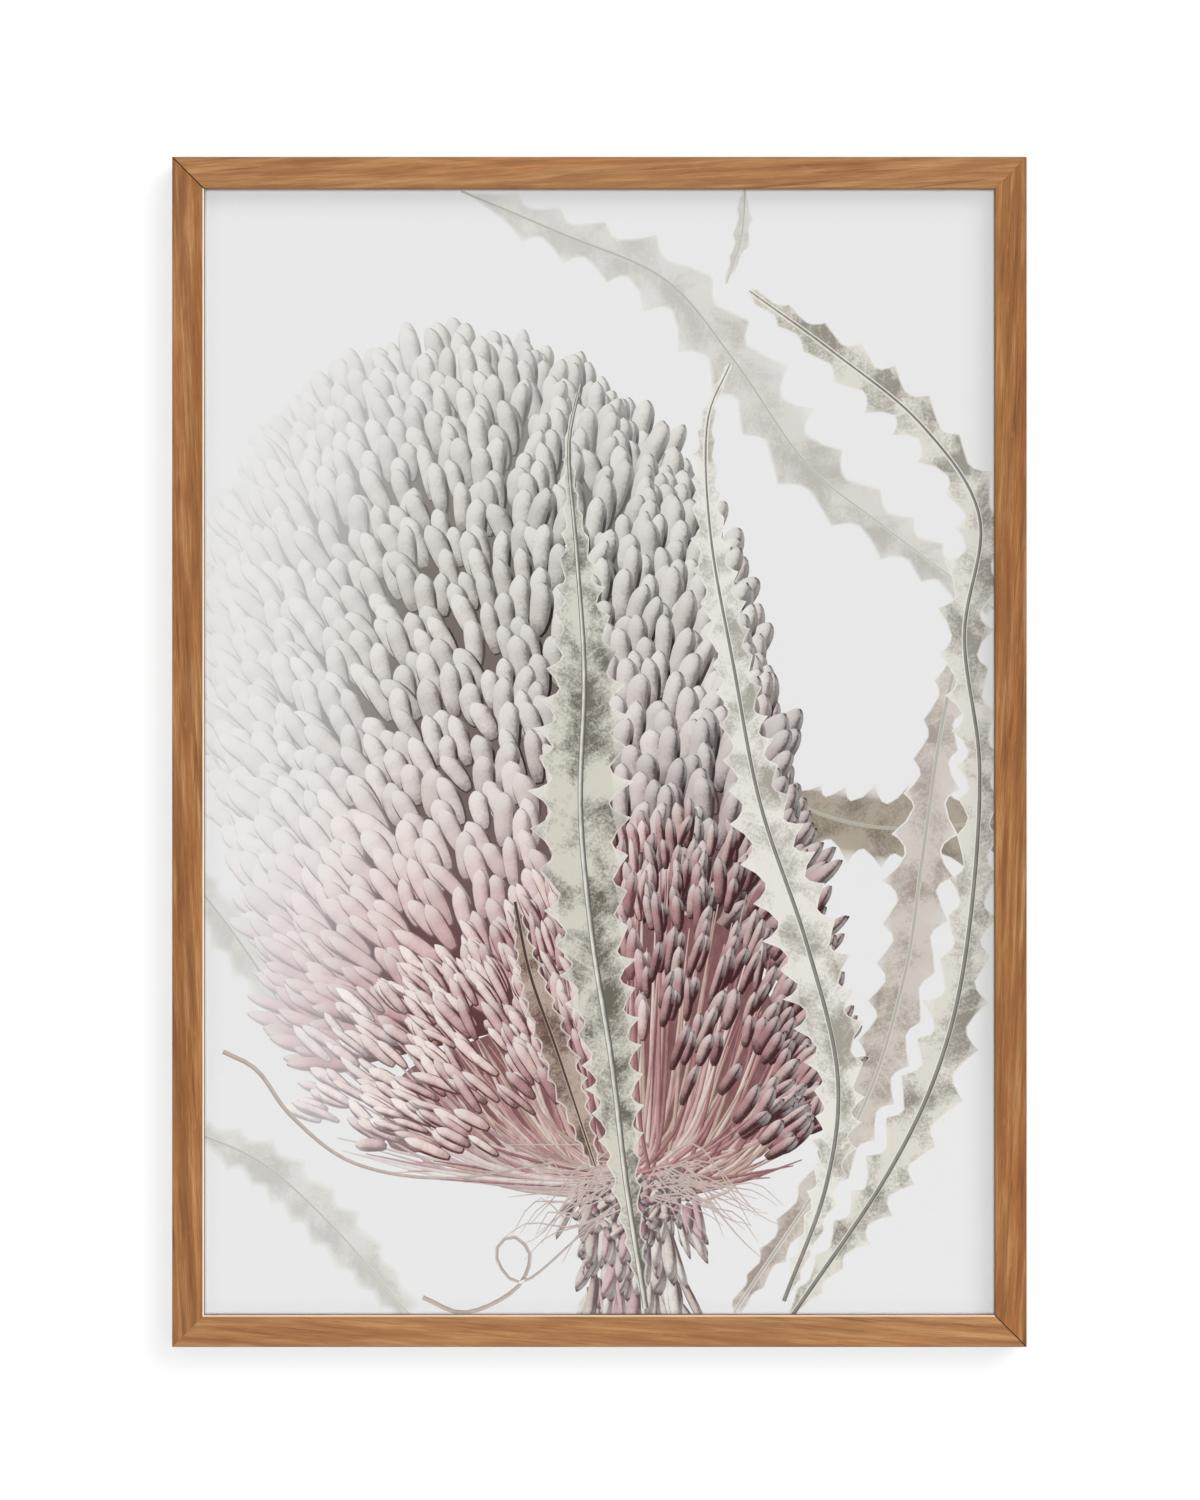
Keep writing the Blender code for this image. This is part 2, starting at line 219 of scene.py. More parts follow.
railNames = ("rail_top", "rail_bottom", "rail_left", "rail_right")
railBoxes = {name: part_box(name) for name in railNames}
leftEdge = railBoxes["rail_left"][0].x
rightEdge = railBoxes["rail_right"][1].x
bottomEdge = railBoxes["rail_bottom"][0].z
topEdge = railBoxes["rail_top"][1].z
faceWidth = railBoxes["rail_left"][1].x - leftEdge
railFront = railBoxes["rail_left"][0].y
railBack = railBoxes["rail_left"][1].y
centreZ = (topEdge + bottomEdge) / 2
printLow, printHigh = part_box("art_print")
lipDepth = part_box("glazing")[0].y - railFront
rebateWidth = faceWidth - (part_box("back_panel")[0].x - leftEdge) + 1.0 * millimetre


# Camera, wall, floor and lights

cameraLook = {
    "lens": 135,              # on a 36 mm sensor
    "viewHeight": 0.7775,     # height of the view at the rails' front faces
    "aimRight": 0.0003,       # aim from the frame's centre
    "aimUp": 0.0010,
}


def addCamera():
    data = bpy.data.cameras.new("camera")
    data.lens = cameraLook["lens"]
    data.sensor_width = 36
    distance = cameraLook["viewHeight"] * data.lens / data.sensor_width
    camera = bpy.data.objects.new("camera", data)
    camera.location = (cameraLook["aimRight"], railFront - distance, centreZ + cameraLook["aimUp"])
    camera.rotation_euler = (math.radians(90), 0, 0)
    scene.collection.objects.link(camera)
    scene.camera = camera


stageLook = {
    "wallSize": (9.0, 6.0),
    "wallTone": (250, 250, 250),
    "floorBelow": 1.0,        # floor under the frame's bottom edge
    "floorSize": 40.0,
    "floorTone": (226, 225, 222),
}


def plane(name, width, height, location, rotation, material):
    mesh = bpy.data.meshes.new(name)
    corners = [(-width / 2, -height / 2, 0), (width / 2, -height / 2, 0),
               (width / 2, height / 2, 0), (-width / 2, height / 2, 0)]
    mesh.from_pydata(corners, [], [(0, 1, 2, 3)])
    mesh.materials.append(material)
    made = newObject(name, mesh)
    made.location = location
    made.rotation_euler = rotation
    made.visible_shadow = False
    made.visible_diffuse = False
    return made


def addStage():
    # The wall is plaster from the front and open from behind, so the frame's back can be seen
    wall = Nodes("wallPaint", roughness=0.9)
    mottle = wall.noise(wall.place(), scale=60, detail=6)
    light = tone(*stageLook["wallTone"])
    wall.set(Base_Color=wall.over(light, mottle, [(0.3, 0.0), (0.7, 0.04)], tone(225, 225, 225)))
    wall.bump(wall.noise(wall.place(), scale=900, detail=2), 0.05)
    see = wall.add("MixShader")
    wall.plug(see.inputs[0], wall.add("NewGeometry").outputs["Backfacing"])
    wall.plug(see.inputs[1], wall.shader)
    wall.plug(see.inputs[2], wall.add("BsdfTransparent"))
    wall.plug(wall.tree.nodes["Material Output"].inputs["Surface"], see)
    width, height = stageLook["wallSize"]
    floorZ = bottomEdge - stageLook["floorBelow"]
    made = plane("wall", width, height, (0, 0.0002, floorZ + height / 2), (math.radians(90), 0, 0),
                 wall.material)
    made.visible_glossy = False
    made.visible_transmission = False

    floor = Nodes("floorPaint", roughness=0.8)
    cloud = floor.noise(floor.place(), scale=3, detail=5)
    pale = tone(*stageLook["floorTone"])
    floor.set(Base_Color=floor.over(pale, cloud, [(0.3, 0.0), (0.7, 0.15)], tone(210, 209, 206)))
    size = stageLook["floorSize"]
    plane("floor", size, size, (0, 0, floorZ), (0, 0, 0), floor.material)


lightLook = {
    # Turned right, raised (degrees, as seen from the frame), width of the source, strength
    "front": (0, 0, 5, 0.35),
    "soft": (0, 0, 75, 0.475),
    "key": (34, 28, 36, 0.27),
    "back": (215, 35, 35, 1.5),
    "backFill": (150, 10, 60, 0.45),
    "worldLight": 0.12,
    "worldSeen": 0.86,
}


def addLights():
    for name in ("front", "soft", "key", "back", "backFill"):
        turned, raised, width, strength = lightLook[name]
        data = bpy.data.lights.new(name, "SUN")
        data.energy = strength * math.pi
        data.angle = math.radians(width)
        lamp = bpy.data.objects.new(name, data)
        turned, raised = math.radians(turned), math.radians(raised)
        towards = Vector((math.sin(turned) * math.cos(raised), -math.cos(turned) * math.cos(raised),
                          math.sin(raised)))
        lamp.rotation_euler = towards.to_track_quat("Z", "Y").to_euler()
        lamp.location = towards * 4
        lamp.visible_glossy = name.startswith("back")
        scene.collection.objects.link(lamp)
    world = bpy.data.worlds.new("studio")
    scene.world = world
    world.use_nodes = True
    tree = world.node_tree
    background = tree.nodes["Background"]
    background.inputs["Color"].default_value = (1, 1, 1, 1)
    path = tree.nodes.new("ShaderNodeLightPath")
    level = tree.nodes.new("ShaderNodeMapRange")
    level.inputs["To Min"].default_value = lightLook["worldLight"]
    level.inputs["To Max"].default_value = lightLook["worldSeen"]
    tree.links.new(path.outputs["Is Camera Ray"], level.inputs["Value"])
    tree.links.new(level.outputs["Result"], background.inputs["Strength"])
    scene.view_settings.view_transform = "Standard"
    scene.view_settings.look = "None"


addCamera()
addStage()
addLights()
report("camera, wall, floor and lights are in place")


# Oak rails

railLook = {
    "arrisRadius": 0.0007,
    "arrisSteps": 5,
    "stations": 72,            # cuts along each rail
    "handSanding": 0.00006,    # how far the arrises wander
    "openSeam": 0.00026,       # half width at the face of the two mitres that have opened
    "tightSeam": 0.00002,      # half width of the two that have not
    "seamDepth": 0.0014,
}


def railSection(inward, depth, lip, land):
    # (inward, depth) round the L, front at -depth; the outline starts at the back outer edge
    radius = railLook["arrisRadius"]
    steps = railLook["arrisSteps"]
    points = arcPoints((radius, -radius), radius, 90, 180, steps)
    points += arcPoints((radius, -depth + radius), radius, 180, 270, steps)
    front = len(points) - steps - 2
    points.insert(front + 1, (0, -depth + railLook["seamDepth"]))
    for share in (0.25, 0.5, 0.75):
        points.append((inward * share, -depth))
    points += arcPoints((inward - radius, -depth + radius), radius, 270, 360, steps)
    points.append((inward, -depth + railLook["seamDepth"]))
    face = (front + 1, len(points))
    points += [(inward, -depth + lip), (land, -depth + lip), (land, 0)]
    return points, face


def railMesh(name, length, seamStart, seamEnd, seed):
    # The rail runs along X, inward is Z and depth is Y; both ends are cut back at 45 degrees
    depth = railBack - railFront
    section, face = railSection(faceWidth, depth, lipDepth - 0.3 * millimetre,
                                faceWidth - rebateWidth)
    stations = railLook["stations"]
    wander = random.Random(seed)
    waves = [(wander.uniform(0.6, 3.0), wander.uniform(0, math.tau)) for _ in range(6)]
    edit = bmesh.new()
    rows = []
    for step in range(stations + 1):
        share = 2 * step / stations - 1
        opened = (seamEnd if share > 0 else seamStart) - railLook["tightSeam"]
        row = []
        for index, (inward, y) in enumerate(section):
            seam = opened * max(0, 1 - (y + depth) / railLook["seamDepth"])
            reach = length / 2 - inward - math.sqrt(2) * (seam + railLook["tightSeam"])
            x = share * reach
            rub = sum(math.sin(x / length * math.tau * rate + phase + index)
                      for rate, phase in waves) / 6
            rub *= railLook["handSanding"] * (1 - share * share)
            towards = Vector((faceWidth / 2 - inward, -depth / 2 - y)).normalized() * abs(rub)
            row.append(edit.verts.new((x, y + towards.y, inward + towards.x)))
        rows.append(row)
    skin(edit, rows)
    for row in (rows[0], rows[-1]):
        edit.faces.new(row[face[0]:face[1]])
        edit.faces.new(row[:face[0] + 1] + row[face[1] - 1:])
    return meshFrom(edit, name, outward=True)


oakLook = {
    # each rail's light and mid tones, the dark of its grain lines, where its plank was cut, how far
    # the grain leans off the rail, and the tone and strength of the painted light on its inner edge:
    # a painted highlight on the left and bottom rails, painted shade on the top and right
    "rail_top": ((178, 132, 86), (160, 111, 68), (118, 76, 44), (0.31, 0.052, 0.036), 3.4,
                 (126, 92, 62), 0.35),
    "rail_bottom": ((177, 131, 85), (159, 110, 67), (118, 76, 44), (-0.42, 0.047, -0.040), -3.8,
                    (252, 232, 206), 0.85),
    "rail_left": ((167, 117, 72), (148, 97, 54), (104, 63, 34), (0.12, -0.058, 0.030), 2.0,
                  (255, 240, 220), 0.95),
    "rail_right": ((168, 116, 68), (149, 96, 52), (105, 63, 34), (-0.23, 0.061, 0.027), -2.4,
                   (126, 92, 62), 0.35),
    "ringSpacing": 0.0052,
    "level": 1.02,             # every tone is multiplied by this, to suit the light on the rails
    # hairline cracks: the rail, the middle along it, the length, how far inward, the slope
    "cracks": (("rail_left", 0.011, 0.064, 0.0116, -0.083),
               ("rail_right", 0.168, 0.030, 0.0062, 0.05),
               ("rail_top", -0.118, 0.026, 0.0078, 0.04)),
}


def oakMaterial(rail):
    light, mid, dark, cut, lean, litOrShadedEdgeTone, litOrShadedEdgeStrength = oakLook[rail]
    oak = Nodes("oak_" + rail, roughness=0.5)
    tilt = (0, lean, 0)
    # Broad figure: long soft patches of lighter and redder wood
    patches = oak.noise(oak.place((9, 130, 130), cut, tilt), detail=4, distortion=0.4)
    figure = oak.over(tone(*mid), patches, [(0.30, 0.0), (0.70, 1.0)], tone(*light), smooth=True)
    warm = oak.noise(oak.place((5, 90, 90), (cut[1], cut[2], cut[0]), tilt), detail=2)
    reddish = tone(light[0] + 2, light[1] - 14, light[2] - 14)
    figure = oak.over(figure, warm, [(0.5, 0.0), (0.75, 0.45)], reddish, smooth=True)
    # Growth rings round a pith beside the rail, leaning so that they run out along the face
    rings = oak.add("TexWave",
                    {"wave_type": "RINGS", "rings_direction": "X", "wave_profile": "SIN"},
                    Vector=oak.place((1, 1, 1), cut, (0, lean, lean * 0.6)),
                    Scale=0.314 / oakLook["ringSpacing"], Distortion=2.4, Detail=2.0,
                    Detail_Scale=0.22, Detail_Roughness=0.5).outputs["Fac"]
    late = oak.ramp(rings, [(0.0, 0.0), (0.55, 0.05), (0.85, 0.26), (0.98, 0.40)], smooth=True)
    fade = oak.noise(oak.place((7, 60, 60), cut, tilt), detail=1)
    late = oak.times(late, oak.ramp(fade, [(0.35, 0.15), (0.62, 1.0)]))
    figure = oak.mix(late, figure, tone(*dark))
    # Streaks, fibres, open pores and pale ray flecks
    streaks = oak.noise(oak.place((16, 330, 330), cut, tilt), detail=4, roughness=0.58,
                        distortion=0.25)
    figure = oak.over(figure, streaks, [(0.28, 0.62), (0.52, 0.0)], tone(*dark))
    figure = oak.over(figure, streaks, [(0.52, 0.0), (0.74, 0.50)], tone(206, 166, 116))
    lines = oak.noise(oak.place((17, 620, 620), (cut[2], cut[0], cut[1]), (0, lean * 1.8, 0)),
                      detail=2)
    figure = oak.over(figure, lines, [(0.29, 0.60), (0.37, 0.0)], tone(98, 58, 30))
    fibres = oak.noise(oak.place((50, 2000, 2000), (0, 0, 0), tilt), detail=4, roughness=0.65)
    figure = oak.over(figure, fibres, [(0.30, 0.52), (0.55, 0.0)], tone(*dark))
    figure = oak.over(figure, fibres, [(0.55, 0.0), (0.75, 0.22)], tone(208, 168, 122))
    pores = oak.noise(oak.place((150, 3600, 3600), cut, tilt), detail=1)
    openPores = oak.ramp(pores, [(0.24, 1.0), (0.34, 0.0)])
    openPores = oak.times(openPores, oak.ramp(rings, [(0.15, 1.0), (0.7, 0.25)]))
    figure = oak.mix(oak.times(openPores, 0.5), figure, tone(80, 48, 26))
    rays = oak.noise(oak.place((110, 900, 420), cut), detail=2)
    figure = oak.over(figure, rays, [(0.64, 0.0), (0.78, 0.14)], tone(210, 172, 124))
    own = oak.add("TexCoord").outputs["Object"]
    along, deep, inward = oak.add("SeparateXYZ", Vector=own).outputs
    waver = oak.noise(oak.place(), scale=120, detail=3)
    for name, middle, length, reach, slope in oakLook["cracks"]:
        if name == rail:
            away = oak.minus(along, middle)
            off = oak.minus(oak.minus(inward, reach), oak.times(away, slope))
            off = oak.maths("ABSOLUTE",
                            oak.plus(off, oak.maths("MULTIPLY_ADD", waver, 0.0016, -0.0008)))
            width = oak.maths("MULTIPLY_ADD", oak.maths("ABSOLUTE", away), -0.44 / length, 0.22)
            line = oak.minus(width, oak.times(off, 1000))
            figure = oak.mix(oak.times(line, 7.0, clamp=True), figure, tone(84, 50, 26))
    # Painted light on the edges: a painted highlight on the inner edge of the left and bottom rails,
    # painted shade on that of the top and right, and painted shade darkening the rounded outer edge
    inner = oak.times(oak.minus(inward, faceWidth - 0.0009), 2200, clamp=True)
    outer = oak.times(oak.minus(0.0007, inward), 900, clamp=True)
    arris = oak.times(oak.minus(railFront - railBack + 0.0022, deep), 700, clamp=True)
    inner = oak.times(inner, arris)
    figure = oak.mix(oak.times(inner, litOrShadedEdgeStrength), figure, tone(*litOrShadedEdgeTone))
    figure = oak.mix(oak.times(outer, 0.45), figure, tone(*dark))
    level = oakLook["level"]
    figure = oak.mix(1.0, figure, (level, level, level, 1), "MULTIPLY")
    height = oak.minus(oak.times(fibres, 0.35), openPores)
    oak.bump(height, 0.35, 0.00012)
    gloss = oak.ramp(fibres, [(0.2, 0.62), (0.8, 0.46)])
    oak.shader.inputs["Specular IOR Level"].default_value = 0.35
    return oak.set(Base_Color=figure, Roughness=gloss)


def wedgeCutter():
    # The wedges' own shapes, a little fatter, so that each sits in a slot
    edit = bmesh.new()
    for name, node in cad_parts.items():
        if name.startswith("corner_wedge"):
            edit.from_mesh(node.data)
    bmesh.ops.remove_doubles(edit, verts=edit.verts, dist=0.00001)
    bmesh.ops.recalc_face_normals(edit, faces=edit.faces)
    edit.normal_update()
    for vertex in edit.verts:
        vertex.co += vertex.normal * 0.12 * millimetre * vertex.calc_shell_factor()
        if vertex.co.y > railBack - 1.0 * millimetre:
            vertex.co.y = railBack + 1.0 * millimetre
    cutter = newObject("wedgeCutter", meshFrom(edit, "wedgeCutter"))
    cutter.hide_render = True
    return cutter


def addRails():
    opened, tight = railLook["openSeam"], railLook["tightSeam"]
    width, height = rightEdge - leftEdge, topEdge - bottomEdge
    # Name, length, place of the outer edge, turn about Y, and the seams at the rail's -X and +X ends
    rails = (
        ("rail_bottom", width, (0, bottomEdge), 0, tight, opened),
        ("rail_left", height, (leftEdge, centreZ), 90, opened, tight),
        ("rail_top", width, (0, topEdge), 180, tight, opened),
        ("rail_right", height, (rightEdge, centreZ), 270, opened, tight),
    )
    cutter = wedgeCutter()
    ends = Nodes("oakEndGrain", roughness=0.8)
    pores = ends.noise(ends.place(), scale=2200, detail=3)
    endGrain = ends.set(Base_Color=ends.mix(pores, tone(44, 26, 15), tone(72, 45, 27)))
    for seed, (node, length, (x, z), turn, seamStart, seamEnd) in enumerate(rails):
        name = "oak" + pieceName(node)
        mesh = railMesh(name, length, seamStart, seamEnd, seed)
        place = Matrix.Translation((x, railBack, z)) @ Matrix.Rotation(math.radians(turn), 4, "Y")
        slotted = cutOut(newObject(name + "Blank", mesh, place=place), cutter)
        slotted.name = name
        shadeRound(slotted, 28)
        slotted.materials.clear()
        slotted.materials.append(oakMaterial(node))
        slotted.materials.append(endGrain)
        for face in slotted.polygons:
            mitre = abs(face.normal.x) > 0.5 and abs(face.normal.z) > 0.5 and face.area > 0.000004
            face.material_index = 1 if mitre else 0
        newObject(name, slotted, "frame", [node], place).visible_diffuse = False
    bpy.data.objects.remove(cutter)


addRails()
report("four oak rails")

# The print: a cone flower among saw-edged leaves, an arrangement of its own, drawn as flat inked
# shapes laid one over another. Sizes are in millimetres from the middle of the sheet, right and up.

printLook = {
    "lightLevel": 1.08,            # what the lights give a white sheet behind the glass
    "ground": (231, 231, 232),
    "lightFrom": (-0.50, 0.50, 0.71),
}


def ink(red, green, blue, alpha=1.0):
    level = printLook["lightLevel"]
    return np.array([value / level for value in tone(red, green, blue)[:3]] + [alpha])


def spoke(turn):
    return np.array([math.cos(turn), math.sin(turn)])


def columns(at, *values):
    # One row for each point; a single value is repeated down its column
    return np.stack([np.broadcast_to(value, len(at)) for value in values], axis=1)


class Drawing:
    def __init__(self, halfWidth, halfHeight):
        self.corners = [(-halfWidth, -halfHeight), (halfWidth, -halfHeight),
                        (halfWidth, halfHeight), (-halfWidth, halfHeight)]
        self.outlines = [[0, 1, 2, 3]]
        self.shapes = [(0, None)]

    def lay(self, kind, outline, inks):
        # inks(points) gives (place, turn, tint, shade), each constant or one row a point
        first = len(self.corners)
        self.corners += [tuple(point) for point in outline]
        self.outlines.append(list(range(first, first + len(outline))))
        self.shapes.append((kind, inks))


def smoothLine(points, step=3.0):
    # A curve through the points, as evenly spaced places, with its lengths and normals
    points = np.array(points, float)
    padded = np.vstack([2 * points[0] - points[1], points, 2 * points[-1] - points[-2]])
    dense = []
    for a, b, c, d in zip(padded, padded[1:], padded[2:], padded[3:]):
        for t in np.linspace(0, 1, 24, endpoint=False):
            dense.append(0.5 * (2 * b + (c - a) * t + (2 * a - 5 * b + 4 * c - d) * t ** 2
                                + (3 * b - a - 3 * c + d) * t ** 3))
    dense = np.array(dense + [points[-1]])
    runs = np.concatenate([[0], np.cumsum(np.linalg.norm(np.diff(dense, axis=0), axis=1))])
    count = max(3, int(runs[-1] / step) + 1)
    lengths = np.linspace(0, runs[-1], count)
    line = np.stack([np.interp(lengths, runs, dense[:, i]) for i in (0, 1)], axis=1)
    along = np.gradient(line, axis=0)
    along /= np.linalg.norm(along, axis=1)[:, None]
    normals = np.stack([-along[:, 1], along[:, 0]], axis=1)
    return line, lengths, normals


def nearest(points, line):
    # Place along an open line (0 to 1 over its parts) and signed distance to its left
    starts, steps = line[:-1], np.diff(line, axis=0)
    towards = points[:, None] - starts[None]
    share = np.clip((towards * steps).sum(2) / np.maximum((steps ** 2).sum(1), 1e-9), 0, 1)
    away = towards - share[..., None] * steps[None]
    distance = np.linalg.norm(away, axis=2)
    best = distance.argmin(1)
    rows = np.arange(len(points))
    side = np.sign(steps[best, 0] * away[rows, best, 1] - steps[best, 1] * away[rows, best, 0])
    return best + share[rows, best], side * distance[rows, best]


# Kinds of ink, in the order of the sheet's material slots; the bare sheet is kind 0
budKind, leafKind, fibreKind = 1, 2, 3
inkLayers = "place", "turn", "tint", "shade"    # what every inked corner carries


def layStrip(drawing, points, widths, tint, shade, haze=0.0, step=6.0, wander=random):
    # A thread or a rib: a tapering strip that shades like a round cord
    line, lengths, normals = smoothLine(points, step)
    half = np.interp(np.linspace(0, 1, len(line)), np.linspace(0, 1, len(widths)), widths)
    outline = np.vstack([line + normals * half[:, None], (line - normals * half[:, None])[::-1]])
    chance = wander.random()

    def inks(at):
        along, across = nearest(at, line)
        breadth = np.interp(along, np.arange(len(half)), half)
        place = columns(at, np.interp(along, np.arange(len(lengths)), lengths),
                        across / np.maximum(breadth, 0.05), chance)
        turn = np.array([normals[len(normals) // 2][0], normals[len(normals) // 2][1], haze])
        return place, turn, tint, shade

    drawing.lay(fibreKind, outline, inks)


def layLeaf(drawing, leaf, wander):
    # Saw teeth along both sides of a curved midrib
    line, lengths, normals = smoothLine(leaf["spine"], 2.5)
    total = lengths[-1]
    widths = leaf["widths"]

    def breadth(s):
        return np.interp(s / total, np.linspace(0, 1, len(widths)), widths)

    def at(s, off):
        return tuple(np.interp(s, lengths, line[:, i]) + off * np.interp(s, lengths, normals[:, i])
                     for i in (0, 1))

    notch, blur = leaf.get("notch", 0.62), leaf.get("blur", 0.0)
    inset = max(0.9, blur)
    rims, inner = [], []
    for side in (1, -1):
        rim, inside = [], []
        s = wander.uniform(0, leaf["pitch"])
        while s < total - 1:
            pitch = leaf["pitch"] * wander.uniform(0.75, 1.2) * (0.55 + 0.45 * breadth(s) / max(widths))
            reach = wander.uniform(0.85, 1.12)
            for along, out in ((0.0, notch), (0.30, notch + (1 - notch) * 0.36), (0.62, reach),
                               (0.70, notch + (1 - notch) * 0.62),
                               (0.84, notch + (1 - notch) * 0.16)):
                place = min(s + along * pitch, total - 0.5)
                far = max(breadth(place) * out, 0.35)
                rim.append(at(place, side * far))
                inside.append(at(place, side * max(far - inset, far * 0.12)))
            s += pitch
        rims.append(rim)
        inner.append(inside)
    outline = [at(0, 0.3)] + rims[0] + [at(total, 0.0)] + rims[1][::-1] + [at(0, -0.3)]
    closed = np.array(outline + outline[:1])
    ribs = np.arange(len(lengths))

    def inks(where):
        along, across = nearest(where, line)
        s = np.interp(along, ribs, lengths)
        far = breadth(s)
        edge = np.abs(nearest(where, closed)[1])
        soft = np.clip(edge / blur, 0, 1) if blur else np.ones(len(where))
        soft = soft * soft * (3 - 2 * soft)
        hazy = np.interp(s / total, np.linspace(0, 1, len(leaf["haze"])), leaf["haze"])
        turn = columns(where, across / far, leaf["chance"], 1 - soft * (1 - hazy))
        return columns(where, s, across, edge), turn, ink(*leaf["tint"]), ink(*leaf["shade"])

    leaf["chance"] = wander.random()
    drawing.lay(leafKind, outline, inks)
    for side in (0, 1):
        body = [at(0.5, 0)] + inner[side] + [at(total - 0.5, 0)] + [tuple(p) for p in line[-2:0:-1]]
        drawing.lay(leafKind, body, inks)
    if leaf.get("rib", 1):
        hazy = float(np.mean(leaf["haze"]))
        spine = [tuple(p) for p in line[::3]] + [tuple(line[-1])]
        size = leaf.get("rib", 1)
        strips = ((1.0, 0.50, "midrib", "tint"), (-0.9, 0.40, "midrib", "tint"),
                  (0.0, 1.05, "vein", "deep"))
        if leaf.get("paleRib"):
            strips = ((-0.7, 1.0, "vein", "deep"), (0.5, 0.9, "vein", "deep"),
                      (0.0, 1.0, "midrib", "shade"))
        for shift, width, lit, dim in strips:
            beside = [at(s, shift * size) for s in np.linspace(0, total, len(spine))]
            layStrip(drawing, beside, [width * size, width * size, 0.8 * width * size, 0.25],
                     ink(*leaf[lit]), ink(*leaf.get(dim, leaf["vein"])), hazy, wander=wander)


coneLook = {
    "foot": (-20, -138),           # middle of the cone's foot
    "lean": 13.5,                  # degrees to the left
    "height": 342,
    "radius": 132,
    "budArea": 138,                # square millimetres of surface for each bud
    "budRadius": 5.3,
    "budLength": 30,
    # how buds look from the foot (0) to the tip (1): height, lit tone, shaded tone, gap tone
    "tones": (
        (0.00, (196, 158, 156), (130, 90, 91), (88, 52, 54)),
        (0.10, (210, 180, 178), (146, 110, 109), (94, 62, 63)),
        (0.24, (226, 211, 208), (166, 143, 142), (108, 86, 85)),
        (0.38, (228, 219, 215), (172, 157, 153), (112, 97, 93)),
        (0.60, (226, 220, 214), (170, 161, 153), (114, 104, 97)),
        (1.00, (222, 220, 214), (174, 170, 161), (136, 131, 122)),
    ),
}


def coneProfile(share):
    swell = np.where(share > 0.35, 1 - np.abs((share - 0.35) / 0.65) ** 2.7, 1.0)
    below = 1 - 0.13 * (np.clip(0.35 - share, 0, 1) / 0.35) ** 2
    return coneLook["radius"] * np.clip(swell, 0, 1) ** 0.52 * below


def coneTones(share):
    rows = coneLook["tones"]
    stops = [row[0] for row in rows]
    return [tuple(np.interp(share, stops, [row[part][i] for row in rows]) for i in range(3))
            for part in (1, 2, 3)]


def coneHaze(u, v):
    # The flower pales towards the upper left, where the picture is out of focus
    left = np.clip((-u - 100 + 0.10 * max(v, 0)) / 100, 0, 1)
    high = np.clip((v - 90) / 250, 0, 1)
    return float(np.clip(0.74 * left + 0.34 * high + 0.01, 0, 0.82))


def budOutline(slim, pointed):
    # Across -1 to 1 and along 0 to 1, from the foot round the tip
    side = [(0.40 - 0.1 * slim, 0.0), (0.66, 0.10), (0.88, 0.28), (0.98, 0.48), (1.0, 0.62)]
    tip = [(math.cos(math.radians(a)) ** (1 + pointed * 0.6),
            0.66 + 0.34 * math.sin(math.radians(a)))
           for a in (20, 40, 60, 77)]
    half = side + tip
    return half + [(0.0, 1.0)] + [(-p, q) for p, q in reversed(half)]


def layBud(drawing, foot, tip, radius, tint, shade, gap, haze, pointed, wander):
    foot, tip = np.array(foot), np.array(tip)
    along = tip - foot
    length = max(np.linalg.norm(along), radius * 2.2)
    along = along / max(np.linalg.norm(along), 1e-6)
    across = np.array([along[1], -along[0]])
    shape = np.array(budOutline(0.3, pointed))
    bend = wander.uniform(-0.13, 0.13)
    lightX, lightY, _ = printLook["lightFrom"]
    turn = np.array([lightX * across[0] + lightY * across[1], lightX * along[0] + lightY * along[1],
                     haze])
    chance = wander.random()

    def placed(grow, shift):
        out = shape * [radius + grow, length + grow]
        out[:, 0] += bend * length * shape[:, 1] ** 2
        return foot + shift + out[:, :1] * across + out[:, 1:] * along

    def inks(at):
        local = (at - foot) @ np.stack([across, along], axis=1)
        q = local[:, 1] / length
        p = (local[:, 0] - bend * length * q ** 2) / radius
        return columns(at, p, q, chance), turn, tint, shade

    def gapInks(at):
        local = (at - foot) @ np.stack([across, along], axis=1)
        return columns(at, 0, local[:, 1] / length, chance), np.array([0, 0, haze]), gap, gap

    drawing.lay(budKind, placed(0.75, np.array([0.75, -0.85])), gapInks)
    drawing.lay(budKind, placed(0.0, np.zeros(2)), inks)


